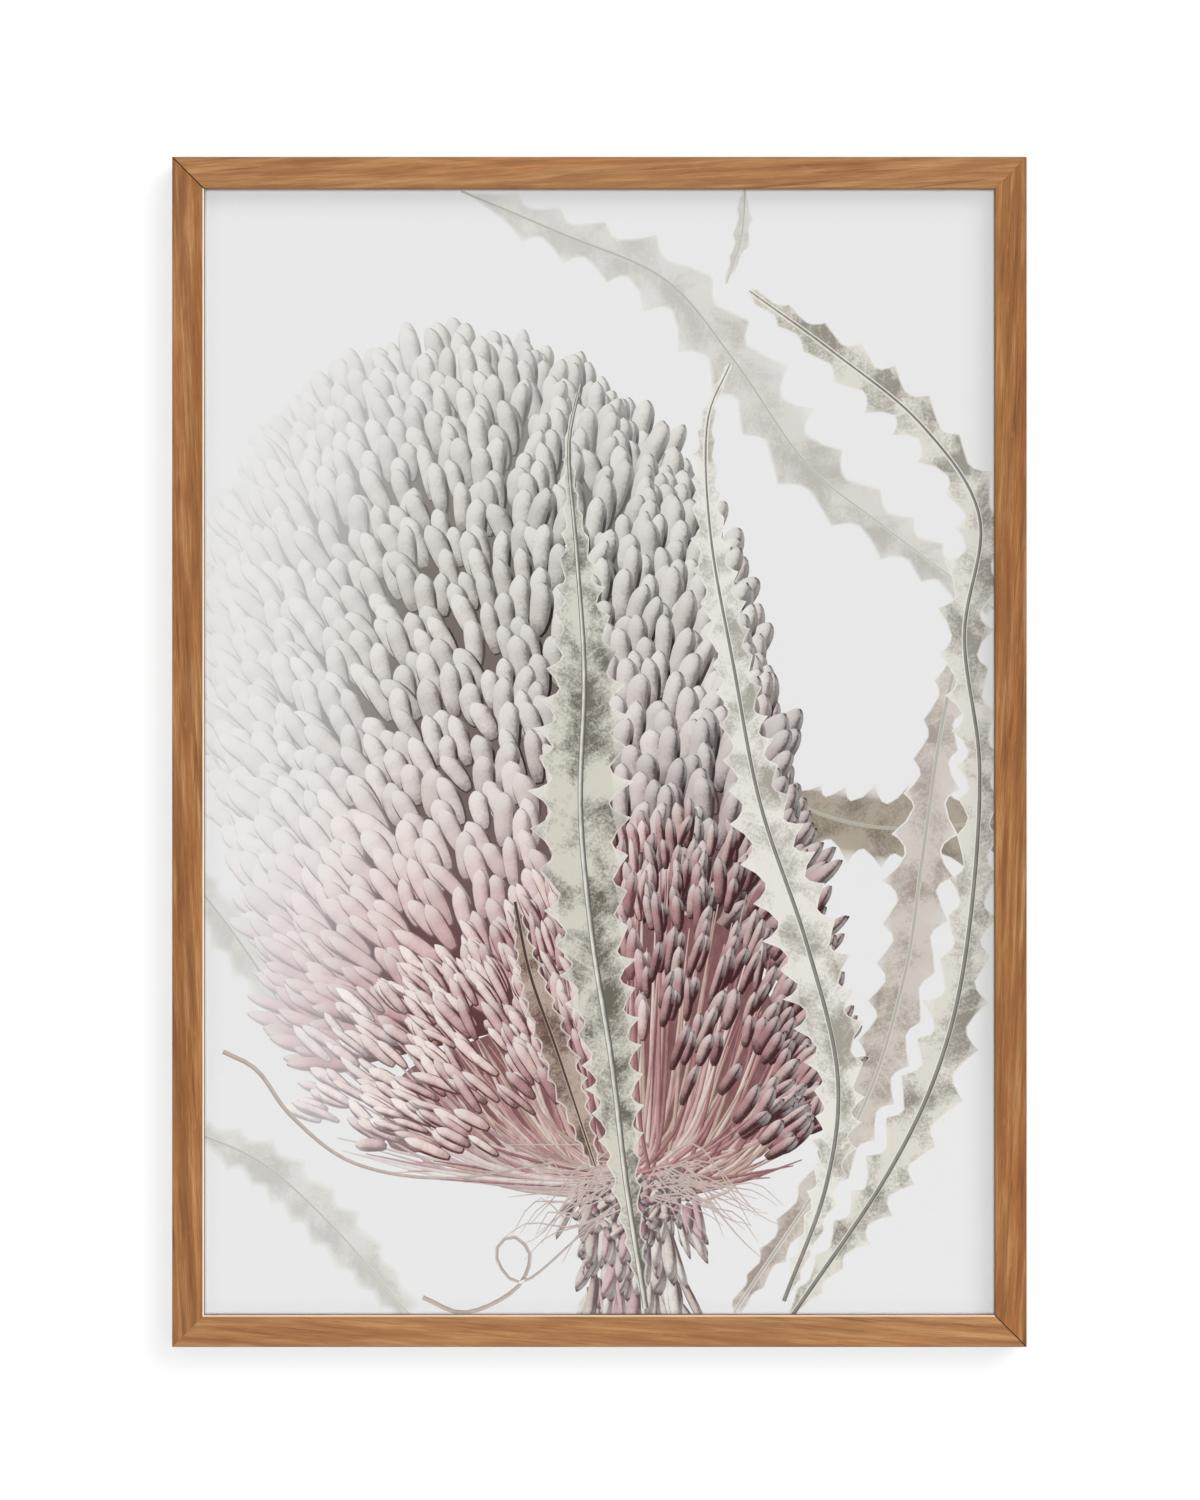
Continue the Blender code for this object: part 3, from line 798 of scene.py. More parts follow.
def layCone(drawing, wander):
    lean = math.radians(coneLook["lean"])
    up = np.array([-math.sin(lean), math.cos(lean)])
    out = np.array([math.cos(lean), math.sin(lean)])
    foot = np.array(coneLook["foot"], float)
    height = coneLook["height"]
    shares = np.linspace(0, 1, 400)
    radii = coneProfile(shares)
    slopes = np.gradient(radii, shares * height)
    rings = 2 * np.pi * radii * np.sqrt(1 + slopes ** 2) * height / 400
    areas = np.cumsum(rings)
    # A shape behind all of the buds, so that nothing shows through between them
    back = []
    for side in (1, -1):
        part = [foot + up * (s * height) + out * side * (coneProfile(s) * 0.97)
                for s in np.linspace(0.0, 0.985, 26)]
        back += part if side == 1 else part[::-1]

    def backInks(at):
        s = np.clip(((at - foot) @ up) / height, 0, 1)
        haze = np.array([coneHaze(u, v) for u, v in at])
        gaps = np.array([ink(*coneTones(value)[2]) for value in s])
        return columns(at, 0, 0.5, 0.5), columns(at, 0, 0, haze), gaps, gaps

    drawing.lay(budKind, back, backInks)
    buds = []
    count = int(areas[-1] / coneLook["budArea"])
    for number in range(count):
        share = float(np.interp((number + 0.5) * coneLook["budArea"], areas, shares))
        turn = number * 2.39996323 + wander.uniform(-0.02, 0.02)
        sideways, nearer = math.cos(turn), math.sin(turn)
        if nearer < -0.12:
            continue
        radius = float(coneProfile(share))
        slope = float(np.interp(share, shares, slopes))
        tilt = math.atan2(-slope, 1)
        upward = 0.70 + 0.95 * min(share / 0.25, 1) + math.sin(tilt) * 0.4
        # Direction of the bud: outward with a lean towards the tip of the cone
        direction = np.array([sideways * math.cos(tilt), nearer * math.cos(tilt),
                              math.sin(tilt) + upward])
        direction /= np.linalg.norm(direction)
        start = foot + up * (share * height) + out * sideways * radius
        start = start + [wander.uniform(-2.0, 2.0), wander.uniform(-2.8, 2.8)]
        length = coneLook["budLength"] * wander.uniform(0.82, 1.22) * (1.12 if share < 0.15 else 1.0)
        length *= 1 - 0.2 * share
        sway = wander.gauss(0, 0.15)
        end = start + (out * (direction[0] + sway) + up * direction[2]) * length
        buds.append((share * height + 70 * (1 - nearer), start, end, share))
    for _, start, end, share in sorted(buds, key=lambda bud: -bud[0]):
        tint, shade, gap = coneTones(share + wander.uniform(-0.02, 0.02))
        sharp = np.clip(1.25 - abs(start[0] + 4) / 130, 0, 1) * np.clip(1 - (start[1] - 110) / 160, 0, 1)
        sharp *= 1 if start[0] > 0 else np.clip((start[1] + 110) / 90, 0.1, 1)
        deepen = 1 - 0.64 * sharp * wander.uniform(0.3, 1.25)
        gap = [value * deepen for value in gap]
        shade = [value * (1 - 0.30 * sharp) for value in shade]
        tint = [value * (1 - 0.05 * sharp) for value in tint]
        if share < 0.34 and start[0] < -16:
            tint, shade = [value + 6 for value in tint], [value + 26 for value in shade]
            gap = [value + 22 for value in gap]
        if share < 0.32 and start[0] > 24:
            tint, shade = [value * 0.90 for value in tint], [value * 0.74 for value in shade]
            gap = [value * 0.80 for value in gap]
        vary = wander.uniform(-16, 5)
        tint = [min(value + vary, 240) for value in tint]
        haze = coneHaze(*((start + end) / 2))
        slim = np.interp(share, [0, 0.12, 0.3, 1], [0.58, 0.70, 1.0, 0.86])
        radius = coneLook["budRadius"] * slim * wander.uniform(0.82, 1.12)
        layBud(drawing, start, end, radius, ink(*tint), ink(*shade), ink(*gap), haze,
               1.0 if share < 0.14 else wander.uniform(0.0, 0.9), wander)
    return foot, up, out


footLook = {"fingers": 520}


def layFoot(drawing, wander):
    # Threads and fingers that spread from the stalk under the cone, then the stalk
    palette = (((206, 176, 172), (150, 112, 110)), ((188, 146, 146), (124, 84, 86)),
               ((168, 122, 124), (108, 70, 74)), ((222, 204, 198), (170, 146, 140)),
               ((196, 172, 160), (134, 110, 100)))
    middle = np.array([20.0, -238.0])
    turns, rims = [24, 45, 70, 86, 104, 125, 150, 166], [92, 138, 188, 190, 158, 146, 176, 166]
    low = [middle + 0.80 * rim * spoke(math.radians(a)) for a, rim in zip(turns, rims)]
    body = [tuple(p) for p in smoothLine([(38, -222)] + low + [(-60, -208), (-4, -226)], 6.0)[0]]

    def bodyInks(at):
        haze = np.clip((-at[:, 0] - 90) / 110, 0, 0.8)
        return (columns(at, at[:, 0], 0, 0.4), columns(at, 1, 0, haze),
                ink(138, 98, 99), ink(86, 52, 55))

    drawing.lay(fibreKind, body, bodyInks)
    for _ in range(240):
        turn = math.radians(wander.uniform(13, 172))
        reach = float(np.interp(math.degrees(turn), turns, rims)) * wander.uniform(0.55, 0.98)
        end = middle + reach * spoke(turn)
        start = np.array([18 + wander.uniform(-16, 16), -226 + wander.uniform(-8, 10)])
        sag = np.array([start[0] + (end[0] - start[0]) * 0.55,
                        start[1] + (end[1] - start[1]) * 0.24])
        tint, shade = wander.choice(palette)
        haze = float(np.clip((-end[0] - 90) / 110, 0, 0.7))
        layStrip(drawing, [start, sag + [0, wander.uniform(-5, 5)], end], [0.9, 1.1, 0.9, 0.3],
                 ink(*tint), ink(*shade), haze, step=12, wander=wander)
    fingers = []
    for _ in range(footLook["fingers"]):
        degrees = wander.uniform(22, 166)
        limit = float(np.interp(degrees, turns, rims))
        reach = 58 + (limit - 52) * math.sqrt(wander.random())
        turn = math.radians(degrees)
        place = middle + reach * spoke(turn)
        swing = math.radians(0.86 * degrees + 0.14 * 98 + wander.gauss(0, 7))
        length = wander.uniform(15, 27)
        fingers.append((reach, place, place + length * spoke(swing)))
    for _, start, end in sorted(fingers, key=lambda finger: -finger[0]):
        pale = np.clip((-start[0] + 10) / 130, 0, 1) * 0.6 + wander.uniform(0, 0.7 if start[0] < 24 else 0.3)
        tint, shade = wander.choice(palette[:3])
        if start[0] > 24:
            tint, shade = [value * 0.92 for value in tint], [value * 0.72 for value in shade]
        tint = [value + (aim - value) * pale for value, aim in zip(tint, (236, 216, 211))]
        dim = wander.uniform(0.78, 1.0)
        shade = [value * dim + 36 * pale for value in shade]
        haze = float(np.clip((-end[0] - 105) / 110, 0, 0.6))
        deep = ink(66, 36, 38) if start[0] > 24 else ink(96, 60, 62)
        layBud(drawing, start, end, wander.uniform(1.5, 3.0), ink(*tint), ink(*shade), deep, haze,
               1.0, wander)
    stalk = [(-4, -214), (8, -224), (30, -224), (44, -212), (38, -236), (33, -262), (37, -297),
             (-2, -297), (1, -268), (2, -246)]

    def stalkInks(at):
        place = columns(at, at[:, 1], (at[:, 0] - 18) / 24, 0.7)
        return place, np.array([1.0, 0.0, 0.05]), ink(206, 196, 190), ink(118, 96, 94)

    drawing.lay(fibreKind, stalk, stalkInks)
    # Withered bracts hang down over the stalk like scales, with knots and hairs round its top
    bracts = [(-221 - 66 * wander.random() ** 1.2, wander.uniform(-26, 26)) for _ in range(120)]
    for y, off in sorted(bracts):
        off *= 1.0 + 0.20 * math.cos((y + 222) / 12)
        length, drift = wander.uniform(13, 32), off * wander.uniform(-0.1, 0.5) + wander.uniform(-4, 4)
        tint, shade = wander.choice((((218, 210, 203), (140, 122, 116)),
                                     ((202, 188, 180), (118, 96, 94)),
                                     ((228, 222, 216), (158, 144, 138)),
                                     ((206, 172, 178), (132, 92, 100))))
        layBud(drawing, (18 + off, y), (18 + off + drift, y - length), wander.uniform(1.1, 2.9),
               ink(*tint), ink(*shade), ink(88, 66, 66), 0.06, 1.0, wander)
    for _ in range(90):
        x, y = 18 + wander.gauss(0, 13), -224 - abs(wander.gauss(0, 15))
        swing = math.radians(wander.uniform(0, 360))
        length = wander.uniform(3, 9)
        tint, shade = wander.choice((((150, 126, 118), (84, 62, 60)),
                                     ((186, 166, 156), (112, 88, 84)),
                                     ((214, 198, 190), (146, 122, 118)),
                                     ((168, 120, 128), (104, 60, 72))))
        layBud(drawing, (x, y), (x + length * math.cos(swing), y + length * math.sin(swing)),
               wander.uniform(0.9, 2.0), ink(*tint), ink(*shade), ink(70, 50, 50), 0.06, 0.9,
               wander)
    for _ in range(64):
        side = wander.choice((-1, 1))
        x, y = 18 + side * wander.uniform(4, 24), -222 + wander.gauss(0, 8)
        dx, dy = side * wander.uniform(14, 62), wander.uniform(-34, 16)
        bend = wander.uniform(-10, 10)
        hair = [(x, y), (x + dx * 0.35, y + dy * 0.15 + bend),
                (x + dx * 0.75, y + dy * 0.6 - bend * 0.6),
                (x + dx, y + dy)]
        layStrip(drawing, hair, [0.5, 0.45, 0.35, 0.12], ink(200, 180, 172), ink(150, 126, 120),
                 0.15, step=7, wander=wander)


greyGreen = {"tint": (218, 214, 204), "shade": (138, 132, 120), "midrib": (230, 227, 219),
             "vein": (140, 132, 124), "deep": (72, 66, 62)}
faded = {"tint": (213, 211, 205), "shade": (187, 184, 176), "midrib": (218, 216, 209),
         "vein": (176, 172, 163)}
leavesBehind = (
    {**faded,
     "spine": [(-72, 292), (-20, 270), (34, 246), (70, 204), (108, 150), (150, 116), (206, 74)],
     "widths": [10, 15, 21, 23, 20, 15, 11], "pitch": 30, "notch": 0.5, "blur": 2.6,
     "haze": (0.35, 0.15, 0.0, 0.0), "rib": 0.5},
    {**faded, "spine": [(-214, -64), (-188, -98), (-166, -132), (-150, -168)],
     "widths": [12, 17, 13, 3],
     "pitch": 20, "blur": 5, "haze": (0.30, 0.35), "rib": 0.6},
    {**faded, "spine": [(-216, -196), (-176, -214), (-138, -248), (-98, -294)],
     "widths": [9, 17, 18, 10],
     "pitch": 19, "blur": 5, "haze": (0.22, 0.22), "rib": 0.5},
    {**faded, "tint": (170, 160, 146), "shade": (124, 113, 98), "midrib": (196, 188, 176),
     "spine": [(82, -14), (114, -32), (154, -40), (212, -36)], "widths": [6, 19, 24, 20],
     "pitch": 20, "notch": 0.60, "blur": 1.2, "haze": (0.0, 0.0), "rib": 0.7},
    {**faded, "tint": (204, 195, 186), "shade": (156, 142, 131), "notch": 0.55,
     "spine": [(192, 76), (178, 12), (168, -56), (158, -120), (132, -196), (70, -292)],
     "widths": [4, 13, 19, 16, 12, 5], "pitch": 24, "blur": 1.3, "haze": (0.15, 0.05, 0.05),
     "rib": 0.8},
    {**faded, "tint": (196, 184, 172), "shade": (150, 134, 124),
     "spine": [(4, 96), (22, 84), (34, 66), (40, 44)], "widths": [2, 9, 10, 2],
     "pitch": 12, "blur": 1.5, "haze": (0.15, 0.1), "rib": 0.5},
)
leavesInFront = (
    {**faded, "spine": [(76, 296), (74, 268), (66, 244)], "widths": [4, 6, 2], "pitch": 14,
     "blur": 1.2, "haze": (0.2, 0.1), "rib": 0.4},
    {**greyGreen,
     "spine": [(100, -294), (150, -220), (178, -160), (192, -96), (198, -10), (190, 60), (198, 122),
               (168, 170), (122, 208), (78, 240)],
     "widths": [5, 13, 19, 15, 12, 12, 16, 13, 15, 3], "pitch": 25, "notch": 0.48,
     "haze": (0.0, 0.05, 0.12, 0.12, 0.05)},
    {**greyGreen, "tint": (228, 225, 217), "shade": (162, 156, 145),
     "spine": [(96, -286), (118, -226), (124, -168), (108, -100), (84, -28), (70, 44), (58, 112),
               (56, 170), (68, 202)],
     "widths": [3, 9, 15, 20, 18, 12, 12, 8, 1.5], "pitch": 19, "notch": 0.55,
     "haze": (0.0, 0.03, 0.08, 0.22)},
    {**greyGreen, "tint": (184, 164, 152), "shade": (104, 80, 74), "midrib": (188, 168, 156),
     "vein": (84, 62, 58), "spine": [(-44, -78), (-36, -116), (-22, -156), (-2, -216)],
     "widths": [2, 9, 11, 3], "pitch": 12, "haze": (0.0, 0.0), "rib": 0.7},
    {**greyGreen, "tint": (210, 206, 195), "shade": (108, 103, 92), "notch": 0.60, "paleRib": True,
     "spine": [(24, -290), (14, -226), (6, -160), (-4, -96), (-10, -30), (-8, 40), (-12, 104),
               (-16, 158), (-10, 192)],
     "widths": [2.5, 8, 15, 20, 26, 25, 15, 4, 0.8], "pitch": 19,
     "haze": (0.0, 0.0, 0.0, 0.05, 0.15)},
)
tendrils = (
    [(-196, -156), (-178, -166), (-160, -190), (-128, -214), (-80, -222), (-24, -214)],
    [(-92, -284), (-70, -292), (-44, -280), (-36, -262), (-46, -252), (-54, -262), (-40, -276),
     (-8, -250)],
)


def inkMaterials():
    ground = tuple(ink(*printLook["ground"]))
    made = []

    bare = Nodes("printPaper", roughness=0.8)
    grain = bare.noise(bare.place(), scale=700, detail=4)
    cloud = bare.noise(bare.place(), scale=4, detail=2)
    colour = bare.over(ground, grain, [(0.35, 0.0), (0.65, 0.05)], tuple(ink(214, 214, 212)))
    colour = bare.over(colour, cloud, [(0.35, 0.0), (0.65, 0.25)], tuple(ink(226, 226, 226)),
                       smooth=True)
    bare.bump(grain, 0.04, 0.00005)
    bare.shader.inputs["Specular IOR Level"].default_value = 0.12
    made.append(bare.set(Base_Color=colour))

    def inked(name):
        nodes = Nodes(name, roughness=0.8)
        values = [nodes.add("Attribute", {"attribute_name": layer}) for layer in inkLayers]
        place = nodes.add("SeparateXYZ", Vector=values[0].outputs["Vector"]).outputs
        turn = nodes.add("SeparateXYZ", Vector=values[1].outputs["Vector"]).outputs
        return nodes, place, turn, values[2].outputs["Color"], values[3].outputs["Color"]

    def finish(nodes, colour, haze):
        colour = nodes.mix(haze, colour, ground)
        grainy = nodes.noise(nodes.place(), scale=900, detail=2)
        nodes.bump(grainy, 0.04, 0.00005)
        nodes.shader.inputs["Specular IOR Level"].default_value = 0.12
        made.append(nodes.set(Base_Color=colour))

    # Buds: round bodies lit from the upper left, velvety, darker at the foot
    nodes, (p, q, chance), (lightP, lightQ, haze), tint, shade = inked("budInk")
    tip = nodes.times(nodes.minus(q, 0.66), 2.94)
    tip = nodes.maths("MINIMUM", nodes.maths("MAXIMUM", tip, 0.0), 1.0)
    square = nodes.plus(nodes.times(p, p), nodes.times(tip, tip))
    depth = nodes.maths("SQRT", nodes.maths("MAXIMUM", nodes.minus(1.0, square), 0.0))
    lit = nodes.plus(nodes.times(p, lightP), nodes.times(tip, lightQ))
    lit = nodes.plus(lit, nodes.times(depth, printLook["lightFrom"][2]))
    root = nodes.ramp(q, [(0.0, 0.20), (0.42, 1.0)], smooth=True)
    lit = nodes.times(lit, root)
    velvet = nodes.noise(nodes.place((1, 1, 1)), scale=620, detail=4, roughness=0.7)
    lit = nodes.plus(lit, nodes.times(nodes.minus(velvet, 0.5), 0.85))
    strength = nodes.ramp(lit, [(0.05, 0.0), (0.45, 0.62), (0.85, 1.0)])
    colour = nodes.mix(strength, shade, tint)
    glow = nodes.times(nodes.ramp(q, [(0.55, 0.0), (0.95, 0.55)]), strength)
    colour = nodes.mix(glow, colour, tuple(ink(234, 232, 229)))
    finish(nodes, colour, haze)

    # Leaves: a paler half and a darker half, slanting veins, speckle and a thin rim
    nodes, (along, across, edge), (share, chance, haze), tint, shade = inked("leafInk")
    wide = nodes.maths("ABSOLUTE", across)
    slant = nodes.plus(nodes.times(along, 1.0), nodes.times(wide, -0.75))
    waver = nodes.noise(nodes.place(), scale=90, detail=2)
    slant = nodes.plus(slant, nodes.times(waver, 5.0))
    veins = nodes.maths("SINE", nodes.times(slant, 1.05))
    veins = nodes.ramp(nodes.maths("MULTIPLY_ADD", veins, 0.5, 0.5), [(0.72, 0.0), (0.98, 1.0)])
    speckle = nodes.noise(nodes.place(), scale=800, detail=4, roughness=0.75)
    folds = nodes.noise(nodes.place(), scale=55, detail=3, distortion=0.4)
    dark = nodes.ramp(nodes.maths("MULTIPLY_ADD", share, 0.5, 0.5),
                      [(0.0, 0.42), (0.46, 0.58), (0.54, 0.18), (1.0, 0.30)])
    dark = nodes.plus(dark, nodes.times(nodes.minus(speckle, 0.5), 2.2))
    dark = nodes.plus(dark, nodes.times(nodes.minus(folds, 0.5), 3.8))
    dark = nodes.plus(dark, nodes.times(veins, -0.14), clamp=True)
    colour = nodes.mix(dark, tint, shade)
    rim = nodes.ramp(edge, [(0.0, 1.0), (0.25, 0.9), (1.0, 0.0)])
    colour = nodes.mix(nodes.times(rim, 0.80), colour, tuple(ink(234, 231, 224)))
    finish(nodes, colour, haze)

    # Threads, ribs and the stalk: round across, streaked along
    nodes, (along, p, chance), (acrossX, acrossY, haze), tint, shade = inked("fibreInk")
    facing = nodes.plus(nodes.times(acrossX, printLook["lightFrom"][0]),
                         nodes.times(acrossY, printLook["lightFrom"][1]))
    depth = nodes.maths("SQRT", nodes.maths("MAXIMUM", nodes.minus(1.0, nodes.times(p, p)), 0.0))
    lit = nodes.plus(nodes.times(nodes.times(p, facing), 1.1),
                      nodes.times(depth, 0.75))
    streak = nodes.noise(nodes.place((420, 420, 160)), detail=3)
    lit = nodes.plus(lit, nodes.times(nodes.minus(streak, 0.5), 0.9), clamp=True)
    finish(nodes, nodes.mix(lit, shade, tint), haze)
    return made


def topShapes(places, drawing):
    # The last shape laid over each place
    corners = np.array(drawing.corners)
    order = np.argsort(places[:, 0])
    sideways = places[order, 0]
    top = np.full(len(places), -1)
    for number in range(len(drawing.outlines) - 1, -1, -1):
        loop = corners[drawing.outlines[number]]
        first, last = np.searchsorted(sideways, (loop[:, 0].min(), loop[:, 0].max()))
        near = order[first:last]
        near = near[top[near] < 0]
        y = places[near, 1]
        near = near[(y > loop[:, 1].min()) & (y < loop[:, 1].max())]
        x, y = places[near, 0][:, None], places[near, 1][:, None]
        (ax, ay), (bx, by) = loop.T, np.roll(loop, -1, axis=0).T
        crossing = (ay > y) != (by > y)
        where = ax + (y - ay) / np.where(by == ay, 1, by - ay) * (bx - ax)
        inside = (crossing & (x < where)).sum(axis=1) % 2 == 1
        top[near[inside]] = number
    return top


def triangulated(points, sides, drawing):
    points, _, faces, _, _, _ = delaunay_2d_cdt(points, sides, [], 0, 1e-3, False)
    flat = np.array([tuple(point) for point in points])
    triangles = np.array([face for face in faces if len(face) == 3])
    middles = flat[triangles].mean(axis=1)
    limit = np.abs(drawing.corners[0])
    triangles = triangles[(np.abs(middles) < limit).all(axis=1)]
    return points, flat, triangles, topShapes(flat[triangles].mean(axis=1), drawing)


def printMesh(drawing):
    corners = [Vector(corner) for corner in drawing.corners]
    sides = [(a, b) for outline in drawing.outlines
             for a, b in zip(outline, outline[1:] + outline[:1])]
    points, flat, triangles, top = triangulated(corners, sides, drawing)
    # Only the edges that show stay for the final triangles
    pairs = np.concatenate([triangles[:, ends] for ends in ([0, 1], [1, 2], [2, 0])])
    pairs = np.sort(pairs, axis=1)
    owners = np.concatenate([top, top, top])
    order = np.lexsort((pairs[:, 1], pairs[:, 0]))
    pairs, owners = pairs[order], owners[order]
    same = (pairs[1:] == pairs[:-1]).all(axis=1)
    seen = np.flatnonzero(same & (owners[1:] != owners[:-1]))
    alone = np.ones(len(pairs), bool)
    alone[1:][same] = False
    alone[:-1][same] = False
    shown = np.concatenate([pairs[seen], pairs[alone]])
    used, renamed = np.unique(shown, return_inverse=True)
    points, flat, triangles, top = triangulated([points[i] for i in used],
                                                renamed.reshape(-1, 2).tolist(), drawing)
    a, b, c = (flat[triangles[:, i]] for i in range(3))
    area = (b - a)[:, 0] * (c - a)[:, 1] - (b - a)[:, 1] * (c - a)[:, 0]
    sound = np.abs(area) > 1e-7
    triangles, top, area = triangles[sound], top[sound], area[sound]
    triangles[area < 0] = triangles[area < 0][:, ::-1]
    spots = flat[triangles].reshape(-1, 2)
    layers = {layer: np.ones((len(spots), size)) for layer, size in zip(inkLayers, (3, 3, 4, 4))}
    layers["place"] *= 0
    layers["turn"] *= 0
    kinds = np.zeros(len(triangles), np.int32)
    order = np.argsort(top, kind="stable")
    cuts = np.flatnonzero(np.diff(top[order])) + 1
    for group in np.split(order, cuts):
        kind, inks = drawing.shapes[top[group[0]]]
        kinds[group] = kind
        if inks is None:
            continue
        rows = (group[:, None] * 3 + np.arange(3)).reshape(-1)
        for layer, values in zip(inkLayers, inks(spots[rows])):
            layers[layer][rows] = values
    # The inked face looks along -Y; sides and a back make it a sheet with a thickness
    front, back = printLow.y, printHigh.y
    middle = (printLow.x + printHigh.x) / 2, (printLow.z + printHigh.z) / 2
    solid = np.stack([middle[0] + flat[:, 0] * millimetre, np.full(len(flat), front),
                      middle[1] + flat[:, 1] * millimetre], axis=1)
    mesh = bpy.data.meshes.new("botanicalPrint")
    mesh.from_pydata(solid.tolist(), [], triangles.tolist())
    for layer, values in layers.items():
        colour = values.shape[1] == 4
        attribute = mesh.attributes.new(layer, "FLOAT_COLOR" if colour else "FLOAT_VECTOR",
                                        "CORNER")
        attribute.data.foreach_set("color" if colour else "vector",
                                   values.astype(np.float32).reshape(-1))
    mesh.polygons.foreach_set("material_index", kinds)
    edit = bmesh.new()
    edit.from_mesh(mesh)
    loose = [vertex for vertex in edit.verts if not vertex.link_faces]
    bmesh.ops.delete(edit, geom=loose, context="VERTS")
    rim = [edge for edge in edit.edges if edge.is_boundary]
    pushed = bmesh.ops.extrude_edge_only(edit, edges=rim)["geom"]
    far = [item for item in pushed if isinstance(item, bmesh.types.BMVert)]
    for vertex in far:
        vertex.co.y = back
    bmesh.ops.holes_fill(edit,
                         edges=[item for item in pushed if isinstance(item, bmesh.types.BMEdge)
                                      and item.is_boundary], sides=0)
    for face in edit.faces:
        if any(vertex.co.y > (front + back) / 2 for vertex in face.verts):
            face.material_index = 0
    bmesh.ops.recalc_face_normals(edit, faces=edit.faces)
    edit.to_mesh(mesh)
    edit.free()
    return mesh


def addPrint():
    drawing = Drawing((printHigh.x - printLow.x) / 2 / millimetre,
                      (printHigh.z - printLow.z) / 2 / millimetre)
    wander = random.Random(11)
    for leaf in leavesBehind:
        layLeaf(drawing, dict(leaf), wander)
    layCone(drawing, wander)
    layFoot(drawing, wander)
    for path in tendrils:
        layStrip(drawing, path, [1.2, 1.0, 0.8, 0.5], ink(190, 174, 164), ink(140, 122, 114), 0.15,
                 wander=wander)
    for leaf in leavesInFront:
        layLeaf(drawing, dict(leaf), wander)
    report(f"{len(drawing.shapes)} inked shapes")
    mesh = printMesh(drawing)
    for material in inkMaterials():
        mesh.materials.append(material)
    newObject("botanicalPrint", mesh, "frame", ["art_print"])
    report(f"print of {len(mesh.polygons)} faces")


addPrint()


# Glazing

def addGlazing():
    # Coated picture glass: nearly clear and faintly smeared
    glass = Nodes("pictureGlass", roughness=0.02)
    tint = glass.add("BsdfTransparent", Color=(0.990, 0.990, 0.988, 1))
    gloss = glass.add("BsdfGlossy", Color=(1, 1, 1, 1), Roughness=0.03)
    smear = glass.noise(glass.place(), scale=9, detail=4)
    glass.plug(gloss.inputs["Roughness"], glass.ramp(smear, [(0.3, 0.02), (0.7, 0.06)]))
    # The same share is reflected from inside the sheet as from outside
    inside = glass.add("NewGeometry").outputs["Backfacing"]
    index = 1.16
    bend = glass.maths("MULTIPLY_ADD", inside, 1 / index - index, index)
    mixed = glass.add("MixShader", Fac=glass.add("Fresnel", IOR=bend))
    glass.plug(mixed.inputs[1], tint)
    glass.plug(mixed.inputs[2], gloss)
    glass.plug(glass.tree.nodes["Material Output"].inputs["Surface"], mixed)
    easedBox("pictureGlass", "glazing", 0.00025, glass.material)


# Spacers and the boards of the pack

def easedBox(name, node, ease, material):
    low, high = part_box(node)
    edit = bmesh.new()
    bmesh.ops.create_cube(edit, size=1)
    size = high - low
    bmesh.ops.transform(edit,
                        matrix=Matrix.Translation((low + high) / 2) @ Matrix.Diagonal((*size, 1)),
                        verts=edit.verts)
    bmesh.ops.bevel(edit, geom=edit.edges[:], offset=ease, segments=3, profile=0.5, affect="EDGES",
                    clamp_overlap=True)
    mesh = meshFrom(edit, name)
    shadeRound(mesh)
    mesh.materials.append(material)
    return newObject(name, mesh, "frame", [node])


packLook = {
    "fibreboard": ((150, 112, 76), (116, 82, 52), (186, 148, 108)),
    "foam": ((236, 235, 231), (214, 213, 208)),
    "mountBoard": ((232, 229, 220), (208, 203, 190)),
    "spacer": ((246, 244, 238), (226, 223, 215)),
}


def addPack():
    base, dark, light = packLook["fibreboard"]
    board = Nodes("fibreboard", roughness=0.82)
    strands = board.noise(board.place((500, 500, 130), rotation=(0, 35, 0)), detail=5,
                          roughness=0.7)
    crossed = board.noise(board.place((130, 500, 500), rotation=(0, 20, 0)), detail=5,
                          roughness=0.7)
    speck = board.noise(board.place(), scale=1500, detail=2)
    worn = board.noise(board.place(), scale=11, detail=5)
    colour = board.over(tone(*base), strands, [(0.42, 0.0), (0.66, 0.6)], tone(*dark))
    colour = board.over(colour, crossed, [(0.50, 0.0), (0.72, 0.5)], tone(*light))
    colour = board.over(colour, speck, [(0.62, 0.0), (0.70, 0.55)], tone(82, 54, 34))
    colour = board.over(colour, worn, [(0.35, 0.0), (0.70, 0.22)], tone(198, 172, 138), smooth=True)
    board.bump(strands, 0.35, 0.0002)
    easedBox("backPanel", "back_panel", 0.00035, board.set(Base_Color=colour))

    def plain(name, tones, roughness, scale):
        nodes = Nodes(name, roughness=roughness)
        grain = nodes.noise(nodes.place(), scale=scale, detail=4)
        patch = nodes.noise(nodes.place(), scale=14, detail=3)
        mixed = nodes.over(tone(*tones[0]), grain, [(0.35, 0.0), (0.70, 0.55)], tone(*tones[1]))
        mixed = nodes.over(mixed, patch, [(0.40, 0.0), (0.75, 0.20)], tone(*tones[1]))
        nodes.bump(grain, 0.2, 0.0001)
        worn = nodes.ramp(grain, [(0.0, roughness), (1.0, roughness - 0.2)])
        return nodes.set(Base_Color=mixed, Roughness=worn)

    easedBox("foamBoard", "foam_board", 0.0003, plain("foamCore", packLook["foam"], 0.8, 900))
    easedBox("mountBoard", "mount_board", 0.0002,
             plain("boardCore", packLook["mountBoard"], 0.85, 1300))
    strip = plain("spacerPlastic", packLook["spacer"], 0.6, 500)
    for side in ("top", "bottom", "left", "right"):
        easedBox("spacer" + side.title(), "spacer_" + side, 0.0004, strip)


addPack()
addGlazing()
report("print, glazing and boards")


# Metal fittings and bumpers on the back

